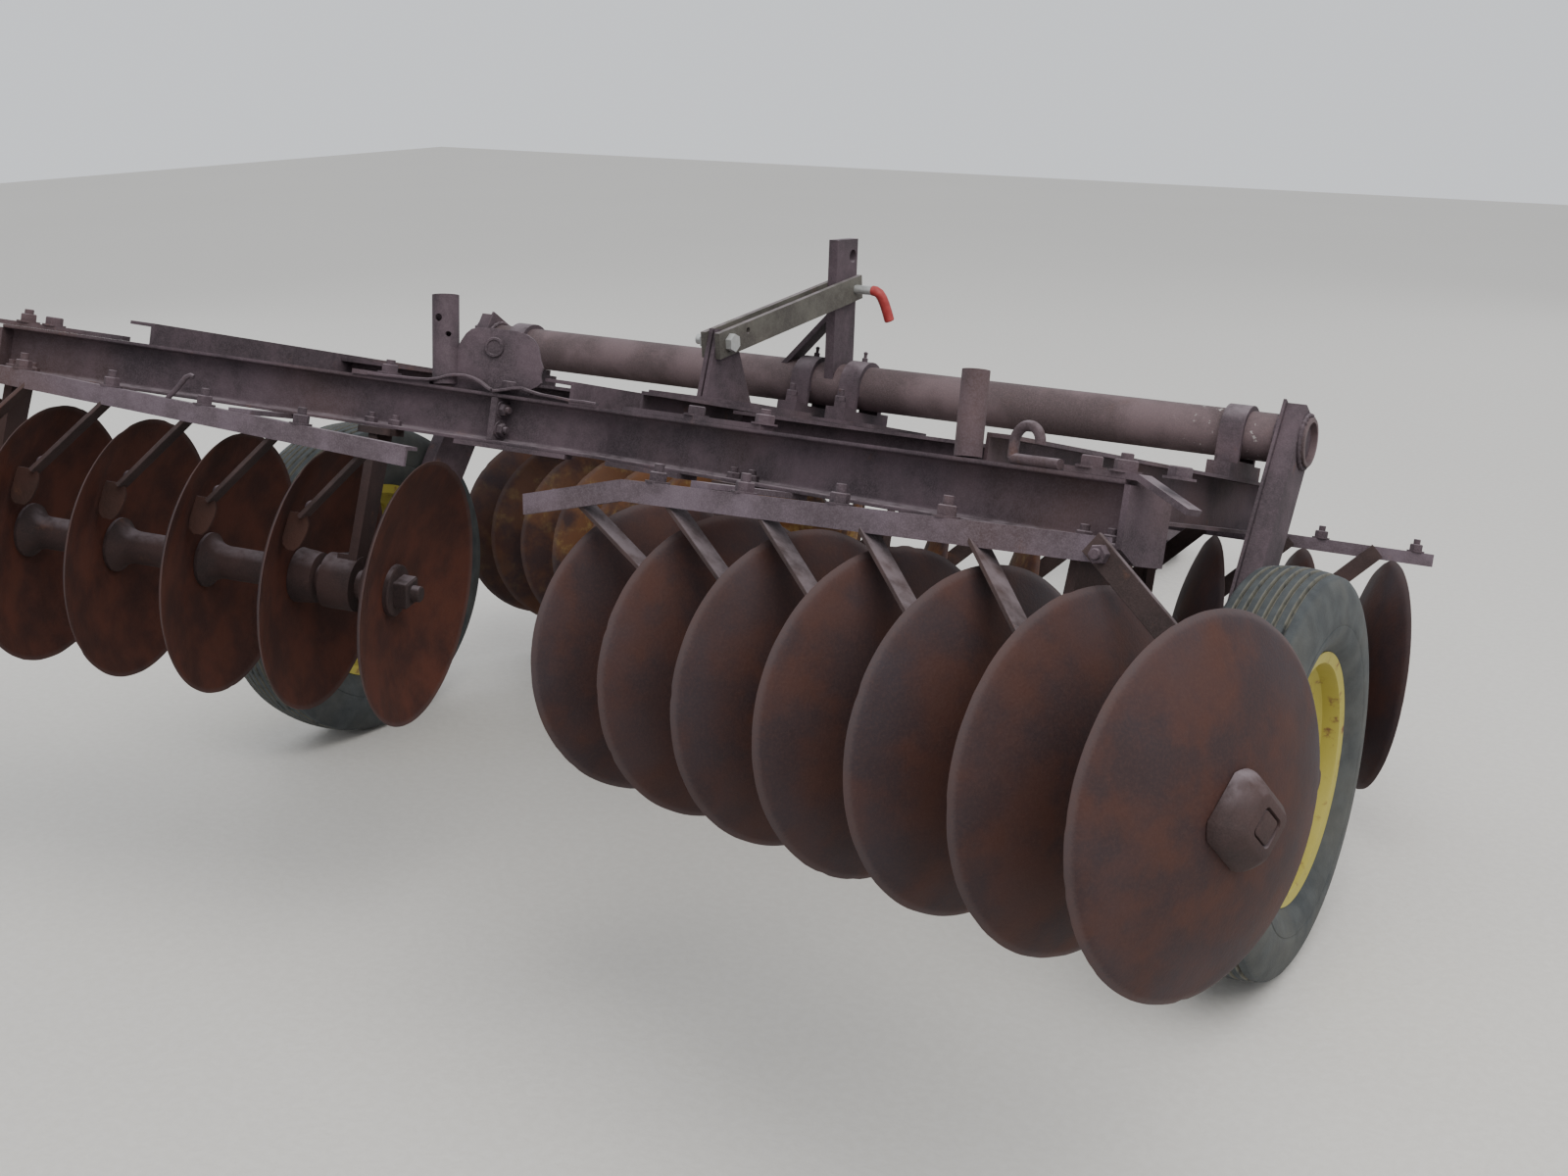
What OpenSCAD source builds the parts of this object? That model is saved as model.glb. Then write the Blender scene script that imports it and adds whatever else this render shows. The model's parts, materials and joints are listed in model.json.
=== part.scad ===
// Wheeled tandem disc harrow, parked on its two tyres and the tip of its tongue.
// Machine axes before the harrow is set down: +X right, +Y travel, +Z up, origin in
// the middle of the wheel axle. stance() then lowers the nose until the hitch rests.

/* [Discs] */
// Diameter of a disc blade
disc_d = 460; // [440:5:475]
// Thickness of a blade
disc_t = 5; // [4:0.5:7]
// Depth of a blade's dish
dish = 52; // [40:1:56]
// Flat seat in the middle of a blade
seat_d = 104; // [90:2:120]
// Distance from blade to blade on a gang
disc_pitch = 175.5; // [170:0.5:185]
// Blades on each rear gang
rear_discs = 7; // [7:1:7]
// Blades on each front gang
front_discs = 7; // [7:1:7]
// Axle bolt diameter
axle_d = 28; // [24:1:32]
// Waist diameter of a spool
spool_waist_d = 58; // [50:1:66]
// Bearing journal diameter
journal_d = 50; // [44:1:54]
// Outside diameter of a bearing housing
housing_d = 96; // [84:1:104]
// Length of a bearing housing
housing_len = 58; // [50:1:64]

/* [Gangs] */
// Angle of the rear gangs from square to the travel
rear_angle = 18.9; // [17:0.1:20]
// Sideways place of the innermost rear blade
rear_x = 247; // [240:1:262]
// Place of the innermost rear blade behind the wheel axle
rear_y = -696; // [-720:1:-690]
// Height of the rear gang axes above the wheel axle
rear_z = 89; // [84:1:94]
// Angle of the front gangs from square to the travel
front_angle = 27; // [26:0.1:28]
// Sideways place of the innermost front blade
front_x = 110; // [108:1:116]
// Place of the innermost front blade ahead of the wheel axle
front_y = 180; // [174:1:188]
// Height of the front gang axes above the wheel axle
front_z = 142; // [136:1:148]

/* [Frame] */
// Depth of the gang beam channels
beam_h = 85; // [80:1:90]
// Flange width of the gang beam channels
beam_w = 38; // [34:1:42]
// Wall of the channels
wall = 6; // [5:0.5:7]
// Underside of the rear beams above the wheel axle
rear_beam_z = 361; // [356:1:366]
// Gang axis to the flange tips of the rear beams
rear_beam_off = 17; // [12:1:22]
// Outer end of the rear beams, from the innermost blade
beam_end = 861; // [858:1:872]
// Outer end of the front beams, from the innermost blade
front_beam_end = 866; // [862:1:880]
// Depth of the side rail channels
rail_h = 98; // [94:1:100]
// Flange width of the side rail channels
rail_w = 45; // [40:1:47]
// Top of the side rails above the wheel axle
rail_top = 484; // [482:1:488]
// Web of the side rails from the middle
rail_x = 820; // [814:1:822]
// Middle of each centre rail from the middle
centre_rail_x = 95; // [90:1:105]

/* [Rock shaft] */
// Outside diameter of the rock shaft tube
shaft_d = 89; // [84:1:92]
// Wall of the rock shaft tube
shaft_wall = 7; // [5:0.5:9]
// Rock shaft axis ahead of the wheel axle
shaft_y = 221; // [216:1:226]
// Rock shaft axis above the wheel axle
shaft_z = 565; // [560:1:570]
// Half the length of the rock shaft
shaft_half = 962; // [958:1:964]
// Thickness of a bearing cap strap
cap_t = 9; // [7:0.5:10]
// Width of a bearing cap strap
cap_w = 44; // [40:1:48]
// Width of the wheel arm channels
arm_w = 76; // [72:1:80]
// Middle of a wheel arm from the middle
arm_x = 912; // [910:1:914]
// Flange of the wheel arm channels
arm_flange = 40; // [36:1:44]
// Length of a wheel arm above the rock shaft
arm_top = 78; // [70:1:86]

/* [Lift arm and lock] */
// Sideways place of the lift arm's middle
lift_x = -12; // [-16:1:-8]
// Thickness of the lift arm bar
lift_t = 20; // [16:1:22]
// Width of the lift arm bar
lift_w = 82; // [76:1:88]
// Lift arm tip above the rock shaft axis
lift_len = 296; // [280:1:310]
// Lock pin above the rock shaft axis, along the lift arm
lock_len = 196; // [186:1:206]
// Lock bolt behind the wheel axle
lock_y = -236; // [-246:1:-226]
// Lock bolt above the rail tops
lock_h = 116; // [108:1:122]
// Width of the lock bars
lock_w = 48; // [44:1:52]
// Thickness of the lock bars
lock_t = 10; // [8:0.5:12]
// Lock pin and bolt diameter
pin_d = 19; // [16:1:22]

/* [Wheels] */
// Outside diameter of a tyre
tyre_d = 700; // [680:2:716]
// Width of a tyre
tyre_w = 160; // [150:1:164]
// Middle of a tyre from the middle
tyre_x = 1048; // [1046:1:1052]
// Nominal bead diameter of the rims
rim_d = 406; // [400:1:410]
// Hub diameter
hub_d = 92; // [84:1:100]
// Spindle diameter
spindle_d = 38; // [32:1:42]

/* [Tongue] */
// Front edge of the hitch tongue ahead of the wheel axle
tip_y = 2400; // [2360:5:2440]
// Underside of the hitch above the wheel axle
tip_z = 286; // [276:1:296]
// Height of the tongue tubes
tongue_h = 90; // [84:1:96]
// Width of the tongue tubes
tongue_w = 55; // [50:1:60]
// Tongue tubes from the middle at the front beams
tongue_x = 330; // [320:1:340]
// Hitch pin hole diameter
hitch_pin_d = 27; // [24:1:30]

/* [Hidden] */
$fn = 48;

fit = 0.3;
disc_r = disc_d / 2;
seat_r = seat_d / 2;
tyre_r = tyre_d / 2;
rim_r = rim_d / 2;
shaft_r = shaft_d / 2;
rear_len = (rear_discs - 1) * disc_pitch;
front_len = (front_discs - 1) * disc_pitch;
rear_beam_local = rear_beam_z - rear_z;
front_beam_z = rail_top - beam_h;
front_beam_local = front_beam_z - front_z;
rail_z = rail_top - rail_h;
stance_angle = asin(tyre_r / norm([tip_y, tip_z])) + atan2(tip_z, tip_y);
// Middle of the parked harrow's length, ahead of the wheel axle
middle_y = 614.3;
swing = atan2(shaft_y, shaft_z);
arm_len = norm([shaft_y, shaft_z]);
big = 3000;

rust = "#5d4038";
steel = "#4b3d3c";
blade = "#6b3a2a";
olive = "#55524a";
zinc = "#b8bcb8";
red_grip = "#b5343c";
rubber = "#3c4443";
yellow = "#c9b437";

// Sets the machine down on its tyres and hitch
module stance() {
    translate([0, -middle_y, tyre_r]) rotate([-stance_angle, 0, 0]) children();
}

// Builds on the right, or mirrored on the left
module on_side(side) {
    mirror([side < 0 ? 1 : 0, 0, 0]) children();
}

// Gang axes: +X outward along the gang from its innermost blade, +Y ahead
module at_rear(side) {
    on_side(side) translate([rear_x, rear_y, rear_z]) rotate([0, 0, -rear_angle]) children();
}

module at_front(side) {
    on_side(side) translate([front_x, front_y, front_z]) rotate([0, 0, front_angle]) children();
}

function rounded(w, h, r, steps = 5) = [
    for (c = [[1, 1, 0], [-1, 1, 90], [-1, -1, 180], [1, -1, 270]])
        for (k = [0 : steps])
            [c[0] * (w / 2 - r) + r * cos(c[2] + 90 * k / steps),
             c[1] * (h / 2 - r) + r * sin(c[2] + 90 * k / steps)]];

// Channel along +X from 0, standing on z = 0, web against y = 0, flanges to -Y
module channel(len, h, w, t = wall) {
    rotate([90, 0, 90]) linear_extrude(len)
        polygon([[0, 0], [0, h], [-w, h], [-w, h - t], [-t, h - t], [-t, t], [-w, t], [-w, 0]]);
}

// Flat bar lying along +X from 0, centred on y, from z = 0 up
module flat_bar(len, w, t) {
    translate([0, -w / 2, 0]) cube([len, w, t]);
}

module bolt_head(d, h) {
    cylinder(d = d, h = h, $fn = 6);
}

// Blades

function bowl(r, reach) =
    let (ball = (reach * reach + dish * dish) / (2 * dish))
    sqrt(ball * ball - r * r) - (ball - dish);

// Half section of a blade: radius, then distance the dish stands out of the rim plane
module blade_section() {
    steps = 7;
    rim_step = 12;
    outer = [for (k = [0 : steps])
        let (r = seat_r + (disc_r - rim_step - seat_r) * k / steps) [r, bowl(r, disc_r) + disc_t]];
    inner = [for (k = [steps : -1 : 0])
        let (r = seat_r + (disc_r - seat_r) * k / steps) [r, bowl(r, disc_r)]];
    hole = axle_d / 2 + fit;
    polygon(concat([[hole, bowl(seat_r, disc_r) + disc_t]], outer, [[disc_r, 1.5]], inner,
        [[hole, bowl(seat_r, disc_r)]]));
}

seat_out = bowl(seat_r, disc_r);

module discs(count, bulge) {
    for (i = [0 : count - 1])
        translate([i * disc_pitch, 0, 0]) rotate([0, bulge * 90, 0])
            rotate_extrude($fn = 72) blade_section();
}

// Axle bolt with its spools, journals and end washers. bulge is 1 where the blades
// are dished outwards along the gang, -1 where they are dished inwards.

rear_bearings = [0, 4];
front_bearings = [0, 3];

module spool(len, waist) {
    rotate([0, 90, 0]) rotate_extrude() polygon([[0, 0], [seat_r - 4, 0], [seat_r - 4, 8],
        [waist / 2 + 6, 26], [waist / 2, 42], [waist / 2, len - 42], [waist / 2 + 6, len - 26],
        [seat_r - 4, len - 8], [seat_r - 4, len], [0, len]]);
}

module journal_spool(len) {
    flare = (len - housing_len) / 2 - 3;
    rotate([0, 90, 0]) rotate_extrude() polygon([[0, 0], [seat_r - 4, 0], [seat_r - 8, flare],
        [journal_d / 2, flare], [journal_d / 2, len - flare], [seat_r - 8, len - flare],
        [seat_r - 4, len], [0, len]]);
}

bumper_d = 116;
bumper_t = 14;
boss_w = 74;
boss_t = 24;

module bumper() {
    rotate([0, 90, 0]) difference() {
        union() {
            rotate_extrude() polygon([[0, 0], [bumper_d / 2, 0], [bumper_d / 2, bumper_t - 5],
                [bumper_d / 2 - 7, bumper_t], [0, bumper_t]]);
            translate([0, 0, bumper_t]) linear_extrude(boss_t) polygon(rounded(boss_w, boss_w, 14));
        }
        translate([0, 0, bumper_t + boss_t - 8]) linear_extrude(9) square(40, center = true);
    }
}

// Washer, square nut and bolt end, on the hollow side of the last blade
module axle_nut() {
    rotate([0, -90, 0]) {
        cylinder(r = seat_r - 6, h = 10);
        translate([0, 0, 10]) linear_extrude(26) polygon(rounded(46, 46, 4));
        translate([0, 0, 36]) cylinder(d = axle_d, h = 16);
    }
}

// Low domed washer where two gangs nearly meet
module end_washer(t) {
    rotate([0, -90, 0]) cylinder(r = seat_r - 8, h = t);
}

module gang_axle(count, bearings, bulge) {
    slack = 0.02;
    gap = disc_pitch - disc_t - slack;
    gang_len = (count - 1) * disc_pitch;
    start = (bulge > 0 ? seat_out + disc_t : -seat_out) + slack / 2;
    union() {
        translate([bulge > 0 ? seat_out - 2 : -seat_out - disc_t - 2, 0, 0]) rotate([0, 90, 0])
            cylinder(d = axle_d, h = gang_len + disc_t + 4);
        for (i = [0 : count - 2]) translate([start + i * disc_pitch, 0, 0])
            if (i == bearings[0] || i == bearings[1]) journal_spool(gap);
            else spool(gap, spool_waist_d);
        if (bulge > 0) {
            translate([start + gang_len, 0, 0]) bumper();
            translate([seat_out - slack / 2, 0, 0]) axle_nut();
        } else {
            translate([-seat_out - disc_t - slack / 2, 0, 0]) end_washer(12);
            translate([start + gang_len, 0, 0]) mirror([1, 0, 0]) axle_nut();
        }
    }
}

// Middle of a bearing along the gang
function bearing_at(i, bulge) = i * disc_pitch + (disc_pitch - disc_t) / 2
    + (bulge > 0 ? seat_out + disc_t : -seat_out);

// Standard: bearing housing, web plate and the foot bolted under the beam
module hanger(bulge, beam_z, beam_y) {
    plate_t = 16;
    foot_t = 12;
    foot_l = 60;
    lean = -bulge * 20;
    neck = housing_d / 2 - 6;
    difference() {
        union() {
            rotate([0, 90, 0]) cylinder(d = housing_d, h = housing_len, center = true);
            translate([-plate_t / 2 + lean, 0, 0]) rotate([90, 0, 90]) linear_extrude(plate_t)
                polygon([[-26, neck - 14], [26, neck - 14], [beam_y + 22, beam_z - foot_t],
                    [beam_y - 40, beam_z - foot_t]]);
            translate([min(lean, 0) - plate_t / 2, -24, neck - 14])
                cube([plate_t + abs(lean), 48, 22]);
            translate([lean, beam_y - 9, beam_z - foot_t]) linear_extrude(foot_t - fit)
                polygon(rounded(foot_l, 74, 10));
        }
        rotate([0, 90, 0]) cylinder(d = journal_d + 0.2, h = housing_len + 2, center = true);
    }
}

// Frame

module rear_beam_line(from, to) {
    translate([from, rear_beam_off + beam_w, rear_beam_local]) channel(to - from, beam_h, beam_w);
}

module front_beam_line(from, to) {
    translate([from, -rear_beam_off - 4, front_beam_local]) mirror([0, 1, 0])
        channel(to - from, beam_h, beam_w);
}

module right_half() {
    translate([0, -big / 2, -big / 2]) cube(big);
}

// The right rear beam is bent at the middle and meets the left one off centre
splice_x = 180;

module beam_rear_right() {
    stance() union() {
        intersection() {
            at_rear(1) rear_beam_line(-600, beam_end);
            right_half();
        }
        intersection() {
            at_rear(-1) rear_beam_line(-600, 200);
            translate([-splice_x, -big / 2, -big / 2]) cube([splice_x, big, big]);
        }
    }
}

module beam_rear_left() {
    stance() intersection() {
        at_rear(-1) rear_beam_line(-600, beam_end);
        translate([-splice_x - big - fit, -big / 2, -big / 2]) cube(big);
    }
}

module beam_front(side) {
    stance() intersection() {
        at_front(side) front_beam_line(-350, front_beam_end);
        on_side(side) translate([fit / 2, 0, 0]) right_half();
    }
}

// Room in front of the rear beams and behind the front beams
module between_beams(side) {
    intersection() {
        at_rear(side) translate([-big / 2, rear_beam_off + beam_w + fit, -big / 2]) cube(big);
        at_front(side) translate([-big / 2, -rear_beam_off - 4 - fit - big, -big / 2]) cube(big);
    }
}

module side_rail(side) {
    stance() intersection() {
        on_side(side) translate([rail_x, -big / 2, rail_z]) rotate([0, 0, 90])
            channel(big, rail_h, rail_w);
        between_beams(side);
    }
}

module centre_rails() {
    stance() for (side = [-1, 1]) intersection() {
        on_side(side) translate([centre_rail_x - 25, -big / 2, rail_top - beam_h])
            rotate([0, 0, 90]) channel(big, beam_h, 50);
        between_beams(side);
    }
}

cross_front_y = 330;
cross_rear_y = -330;
cross_h = 72;

module cross_members() {
    reach = rail_x - centre_rail_x - 25 - 2 * fit;
    cross_start = 300;
    stance() for (side = [-1, 1]) {
        on_side(side) translate([centre_rail_x + 25 + fit, cross_rear_y, rail_top - cross_h - 8])
            channel(reach, cross_h, beam_w);
        on_side(side) intersection() {
            translate([cross_start, cross_front_y, rail_top - cross_h - 8])
                channel(rail_x - fit - cross_start, cross_h, beam_w);
            at_front(1) translate([-big / 2, -rear_beam_off - 4 - fit - big, -big / 2]) cube(big);
        }
    }
}

plate_l = 250;
plate_y = 90;
plate_t = 8;

module centre_plate() {
    stance() translate([0, plate_y + plate_l / 2, rail_top + fit]) linear_extrude(plate_t)
        polygon(rounded(300, plate_l, 12));
}

// Tongue

hitch_plate = 16;
tongue_root = [tongue_x + 20, front_y + 96, rail_top - beam_h + 5];
tongue_end = [62, tip_y - 160, tip_z + hitch_plate + fit];

function tongue_at(y) = tongue_root
    + (tongue_end - tongue_root) * (y - tongue_root[1]) / (tongue_end[1] - tongue_root[1]);

module tube_between(a, b, w, h, t) {
    d = b - a;
    translate(a) rotate([0, 0, atan2(d[1], d[0])]) rotate([0, -asin(d[2] / norm(d)), 0])
        difference() {
            translate([0, -w / 2, 0]) cube([norm(d), w, h]);
            translate([6, -w / 2 + t, t]) cube([norm(d) - 12, w - 2 * t, h - 2 * t]);
        }
}

module tongue_bar(side) {
    stance() on_side(side) intersection() {
        tube_between(tongue_root, tongue_end, tongue_w, tongue_h, 5);
        at_front(1) translate([-big / 2, beam_w - rear_beam_off - 4 + fit, -big / 2]) cube(big);
    }
}

brace_y = 1120;

module tongue_brace() {
    run = tongue_end - tongue_root;
    half = tongue_at(brace_y)[0] - tongue_w / 2 * norm([run[0], run[1]]) / run[1] - fit;
    stance() translate([-half, brace_y, tongue_at(brace_y)[2] + 8]) channel(2 * half, 70, beam_w);
}

module hitch() {
    plate = hitch_plate;
    back = tongue_end[1] - 90;
    half = tongue_end[0] + tongue_w / 2 + 8;
    upper = tip_z + plate + tongue_h + 8;
    stance() difference() {
        union() {
            for (z = [tip_z, upper]) translate([0, 0, z])
                linear_extrude(plate) polygon([[-half - 6, back], [half + 6, back],
                    [half, tongue_end[1] + 10], [44, tip_y - 30], [30, tip_y], [-30, tip_y],
                    [-44, tip_y - 30], [-half, tongue_end[1] + 10]]);
            translate([-44, tongue_end[1] + 10, tip_z + 1]) cube([88, 30, upper - tip_z]);
        }
        translate([0, tip_y - 46, tip_z - 5]) cylinder(d = hitch_pin_d, h = tongue_h + 70);
    }
}

// Rock shaft, bearings and wheel arms

module rock_shaft() {
    stance() translate([-shaft_half, shaft_y, shaft_z]) rotate([0, 90, 0]) difference() {
        cylinder(d = shaft_d, h = 2 * shaft_half, $fn = 64);
        translate([0, 0, -1]) cylinder(d = shaft_d - 2 * shaft_wall, h = 2 * shaft_half + 2, $fn = 64);
    }
}

cap_places = [-rail_x - 14, -72, 42, rail_x + 14];

// Strap bent over the shaft, with its two bolted feet on a bearing block
module bearing_cap(base) {
    foot = 40;
    r = shaft_r + fit;
    low = base - shaft_z;
    rotate([90, 0, 90]) translate([0, 0, -cap_w / 2]) linear_extrude(cap_w) difference() {
        union() {
            circle(r = r + cap_t, $fn = 64);
            translate([-r - cap_t, low]) square([2 * (r + cap_t), -low]);
            translate([-r - cap_t - foot, low]) square([2 * (r + cap_t + foot), 26]);
        }
        circle(r = r, $fn = 64);
        translate([-r, -r - 6]) square([2 * r, 6 + r - 20]);
    }
    for (s = [-1, 1]) translate([0, s * (r + cap_t + foot / 2 + 4), low + 26])
        bolt_head(26, 12);
}

module bearing_caps() {
    stance() for (x = cap_places) translate([x, shaft_y, shaft_z])
        bearing_cap(rail_top + fit + (abs(x) < 200 ? plate_t + fit : 0));
}

module wheel_arm(side) {
    stance() on_side(side) difference() {
        union() {
            rotate([-swing, 0, 0]) translate([arm_x + arm_w / 2, 8, -46]) rotate([0, -90, 0])
                channel(arm_len + arm_top + 46, arm_w, arm_flange, 7);
            translate([arm_x - arm_w / 2 + 1, shaft_y, shaft_z]) rotate([0, 90, 0])
                cylinder(d = shaft_d + 16, h = arm_w + 8);
            translate([arm_x - arm_w / 2 + 1, 0, 0]) rotate([0, 90, 0])
                cylinder(d = 66, h = arm_w);
            translate([arm_x, 0, 0]) rotate([0, 90, 0])
                cylinder(d = spindle_d, h = tyre_x + 62 - arm_x);
        }
        translate([arm_x - arm_w, shaft_y, shaft_z]) rotate([0, 90, 0])
            cylinder(d = shaft_d + 2 * fit, h = 2 * arm_w, $fn = 64);
    }
}

// Lift arm and its rigid lock, in the place of a cylinder

lift_lean = 12;
lock_off = 22;

module on_lift() {
    translate([lift_x, shaft_y, shaft_z]) rotate([lift_lean, 0, 0]) children();
}

module lift_arm() {
    gusset = 150;
    stance() difference() {
        on_lift() union() {
            translate([-lift_t / 2, -lift_w / 2, 0]) cube([lift_t, lift_w, lift_len]);
            translate([-lift_t / 2 + 2, 0, gusset]) rotate([0, -136, 0])
                translate([-5, -25, 0]) cube([10, 50, 174]);
        }
        translate([-big / 2, shaft_y, shaft_z]) rotate([0, 90, 0])
            cylinder(r = shaft_r + fit, h = big, $fn = 64);
        on_lift() translate([-50, lock_off, lock_len]) rotate([0, 90, 0])
            cylinder(d = pin_d + 1, h = 100);
        on_lift() translate([-50, lock_off, lift_len - 34]) rotate([0, 90, 0])
            cylinder(d = 26, h = 100);
    }
}

lock_top = [shaft_y - lock_len * sin(lift_lean) + lock_off * cos(lift_lean),
            shaft_z + lock_len * cos(lift_lean) + lock_off * sin(lift_lean)];
lock_low = [lock_y, rail_top + lock_h];
lock_run = lock_top - lock_low;
lock_rise = atan2(lock_run[1], lock_run[0]);

// Stands at the lock bolt: +X to the right, +Y along the bars towards the pin
module at_lock() {
    translate([lift_x, lock_low[0], lock_low[1]]) rotate([lock_rise, 0, 0]) children();
}

module lock_bars() {
    over = 34;
    stance() at_lock() for (s = [-1, 1]) difference() {
        translate([s > 0 ? lift_t / 2 + fit : -lift_t / 2 - fit - lock_t, -over, -lock_w / 2])
            cube([lock_t, norm(lock_run) + 2 * over - 8, lock_w]);
        for (y = [0, norm(lock_run)]) translate([-60, y, 0]) rotate([0, 90, 0])
            cylinder(d = pin_d + 1, h = 120);
        translate([-60, 62, 8]) rotate([0, 90, 0]) cylinder(d = 12, h = 120);
    }
}

lock_side = lift_t / 2 + fit + lock_t;

module lock_bolt() {
    stance() at_lock() rotate([0, 90, 0]) {
        translate([0, 0, -lock_side - fit]) cylinder(d = pin_d, h = 2 * lock_side + 2 * fit);
        translate([0, 0, lock_side + fit]) bolt_head(34, 12);
        translate([0, 0, -lock_side - fit - 30]) cylinder(d = pin_d, h = 31);
        translate([0, 0, -lock_side - fit - 16]) bolt_head(34, 16);
    }
}

module lock_pin() {
    grip = 84;
    stance() at_lock() translate([0, norm(lock_run), 0]) {
        rotate([0, 90, 0]) translate([0, 0, -lock_side - 14])
            cylinder(d = pin_d, h = 2 * lock_side + 14 + 26);
        translate([lock_side + 24, 0, 0]) {
            sphere(d = pin_d + 1);
            rotate([30, 0, 0]) rotate([0, 140, 0]) cylinder(d = pin_d + 1, h = grip);
        }
    }
}

module lock_bracket() {
    leaf = 8;
    base = 10;
    base_l = 190;
    foot = rail_top + fit;
    stance() difference() {
        union() {
            for (s = [-1, 1]) translate([lift_x + s * (lift_t / 2 - leaf / 2) - leaf / 2, 0, 0])
                rotate([90, 0, 90]) linear_extrude(leaf)
                    polygon([[lock_y - 40, foot + base - 1], [lock_y + base_l - 70, foot + base - 1],
                        [lock_y + 28, lock_low[1] + 20], [lock_y - 28, lock_low[1] + 20]]);
            translate([-centre_rail_x - 20, lock_y - 60, foot])
                cube([2 * centre_rail_x + 40, base_l + 20, base]);
        }
        translate([-60, lock_low[0], lock_low[1]]) rotate([0, 90, 0])
            cylinder(d = pin_d + 1, h = 120);
    }
}

// Bearing standards

module hangers_rear() {
    stance() for (side = [-1, 1]) for (i = rear_bearings)
        at_rear(side) translate([bearing_at(i, 1), 0, 0])
            hanger(1, rear_beam_local, rear_beam_off + beam_w / 2);
}

module hangers_front() {
    stance() for (side = [-1, 1]) for (i = front_bearings)
        at_front(side) translate([bearing_at(i, -1), 0, 0])
            hanger(-1, front_beam_local, beam_w / 2 - rear_beam_off - 4);
}

// Scrapers. The rear bars run a little less angled than their gangs and climb outward.

bar_leg = 32;
bar_t = 6;
bar_first = [-11, -190, 237];
bar_step = [disc_pitch, 32, 6.5];
bar_bend = 0.57;
bar_inner = -0.55;
bar_turn = atan2(bar_step[1], bar_step[0]);

function bar_line(k) = bar_first + k * bar_step;

// A point of a rear bar. The right one's inner end droops from a bend, the left is straight.
function bar_at(k, side) = bar_line(k) - (side > 0 && k < bar_bend
    ? [0, 0, 40 * (bar_bend - k) / (bar_bend - bar_inner)] : [0, 0, 0]);

// Angle iron from one point to another, one leg hanging behind, one lying ahead
module angle_bar(a, b, leg, ahead) {
    d = b - a;
    translate(a) rotate([0, 0, atan2(d[1], d[0])]) rotate([0, -asin(d[2] / norm(d)), 0])
        rotate([90, 0, 90]) linear_extrude(norm(d))
            polygon([[0, leg / 2], [ahead, leg / 2], [ahead, leg / 2 - bar_t],
                [bar_t, leg / 2 - bar_t], [bar_t, -leg / 2], [0, -leg / 2]]);
}

// Strap under a gang beam that carries a scraper bar, with its turned down tab
module bar_strap(x, y, z, ahead, under) {
    wide = 40;
    t = 8;
    translate([x - wide / 2, y, under - fit - t]) cube([wide, ahead - y, t]);
    translate([x - wide / 2, y, z]) cube([wide, t, max(1, under - fit - z)]);
}

module rear_scraper_bar(side) {
    angle_bar(bar_line(side > 0 ? bar_bend : -0.08), bar_line(4.8), bar_leg, bar_leg);
    if (side > 0)
        angle_bar(bar_at(bar_inner, 1), bar_line(bar_bend) + [2, 0, 0], bar_leg, bar_leg);
    angle_bar(bar_line(4.7), bar_line(5.12), bar_leg, bar_t + 0.5);
    for (k = side > 0 ? [1.4, 3.5] : [1.8, 3.9])
        bar_strap(bar_line(k)[0], bar_line(k)[1] + bar_t, bar_line(k)[2], rear_beam_off + 30,
            rear_beam_local);
}

module scraper_bars_rear() {
    stance() for (side = [-1, 1]) at_rear(side) rear_scraper_bar(side);
}

arm_t = 7;
arm_wide = 32;
arm_end = -6;
leaf_t = 5;
tip_gap = 7;
spool_room = 64;

// Arm and its scraping leaf, for a blade at the origin that has its hollow side to -X.
// The leaf's edge follows the hollow face and its foot stops short of the spool.
module scraper(start, slope, turn) {
    reach = arm_end - start[0];
    drop = min(slope * reach, start[2] - 96);
    length = reach / cos(turn);
    low = start + [reach, reach * tan(turn) - arm_t, -drop];
    back = low[1] - 3;
    far = max(abs(back), abs(back + leaf_t));
    near = min(abs(back), abs(back + leaf_t));
    top = low[2] + 20;
    bottom = max(low[2] - 62, sqrt(max(0, spool_room * spool_room - near * near)));
    function edge(z) = bowl(norm([far, z]), disc_r) - tip_gap;
    union() {
        translate(start) rotate([0, 0, turn]) rotate([0, 180 - atan2(length, drop), 0])
            translate([-arm_wide / 2, -arm_t, 0]) cube([arm_wide, arm_t, norm([length, drop])]);
        translate([0, back + leaf_t, 0]) rotate([90, 0, 0]) linear_extrude(leaf_t)
            polygon(concat([for (i = [0 : 4]) let (z = top + (bottom - top) * i / 4) [edge(z), z]],
                [[edge(bottom) - 12, bottom - 7], [edge(bottom) - 34, bottom + 4],
                 [low[0] - 16, low[2] - 4], [low[0] - 10, top]]));
    }
}

module scrapers_rear() {
    stance() for (side = [-1, 1]) at_rear(side) for (k = [0 : rear_discs - 2]) {
        last = k == rear_discs - 2;
        held = bar_at(last ? k : k + (side > 0 ? 0.03 : 0.36), side);
        seat = last ? [0, -fit, 8] : [0, bar_t + fit + arm_t, -4];
        translate([(k + 1) * disc_pitch, 0, 0])
            scraper(held + seat - [(k + 1) * disc_pitch, 0, 0], last ? 0.78 : 1.06, bar_turn);
    }
}

front_bar_y = 40;
front_leg = 25;
front_bar_z = 240;

module scraper_bars_front() {
    t = 8;
    stance() for (side = [-1, 1]) at_front(side) {
        angle_bar([20, front_bar_y, front_bar_z], [front_len + 87, front_bar_y, front_bar_z],
            front_leg, front_leg);
        for (x = [1.3 * disc_pitch, 2.4 * disc_pitch])
            translate([x - 20, -12, front_beam_local - fit - t]) cube([40, front_bar_y + 13, t]);
    }
}

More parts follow.
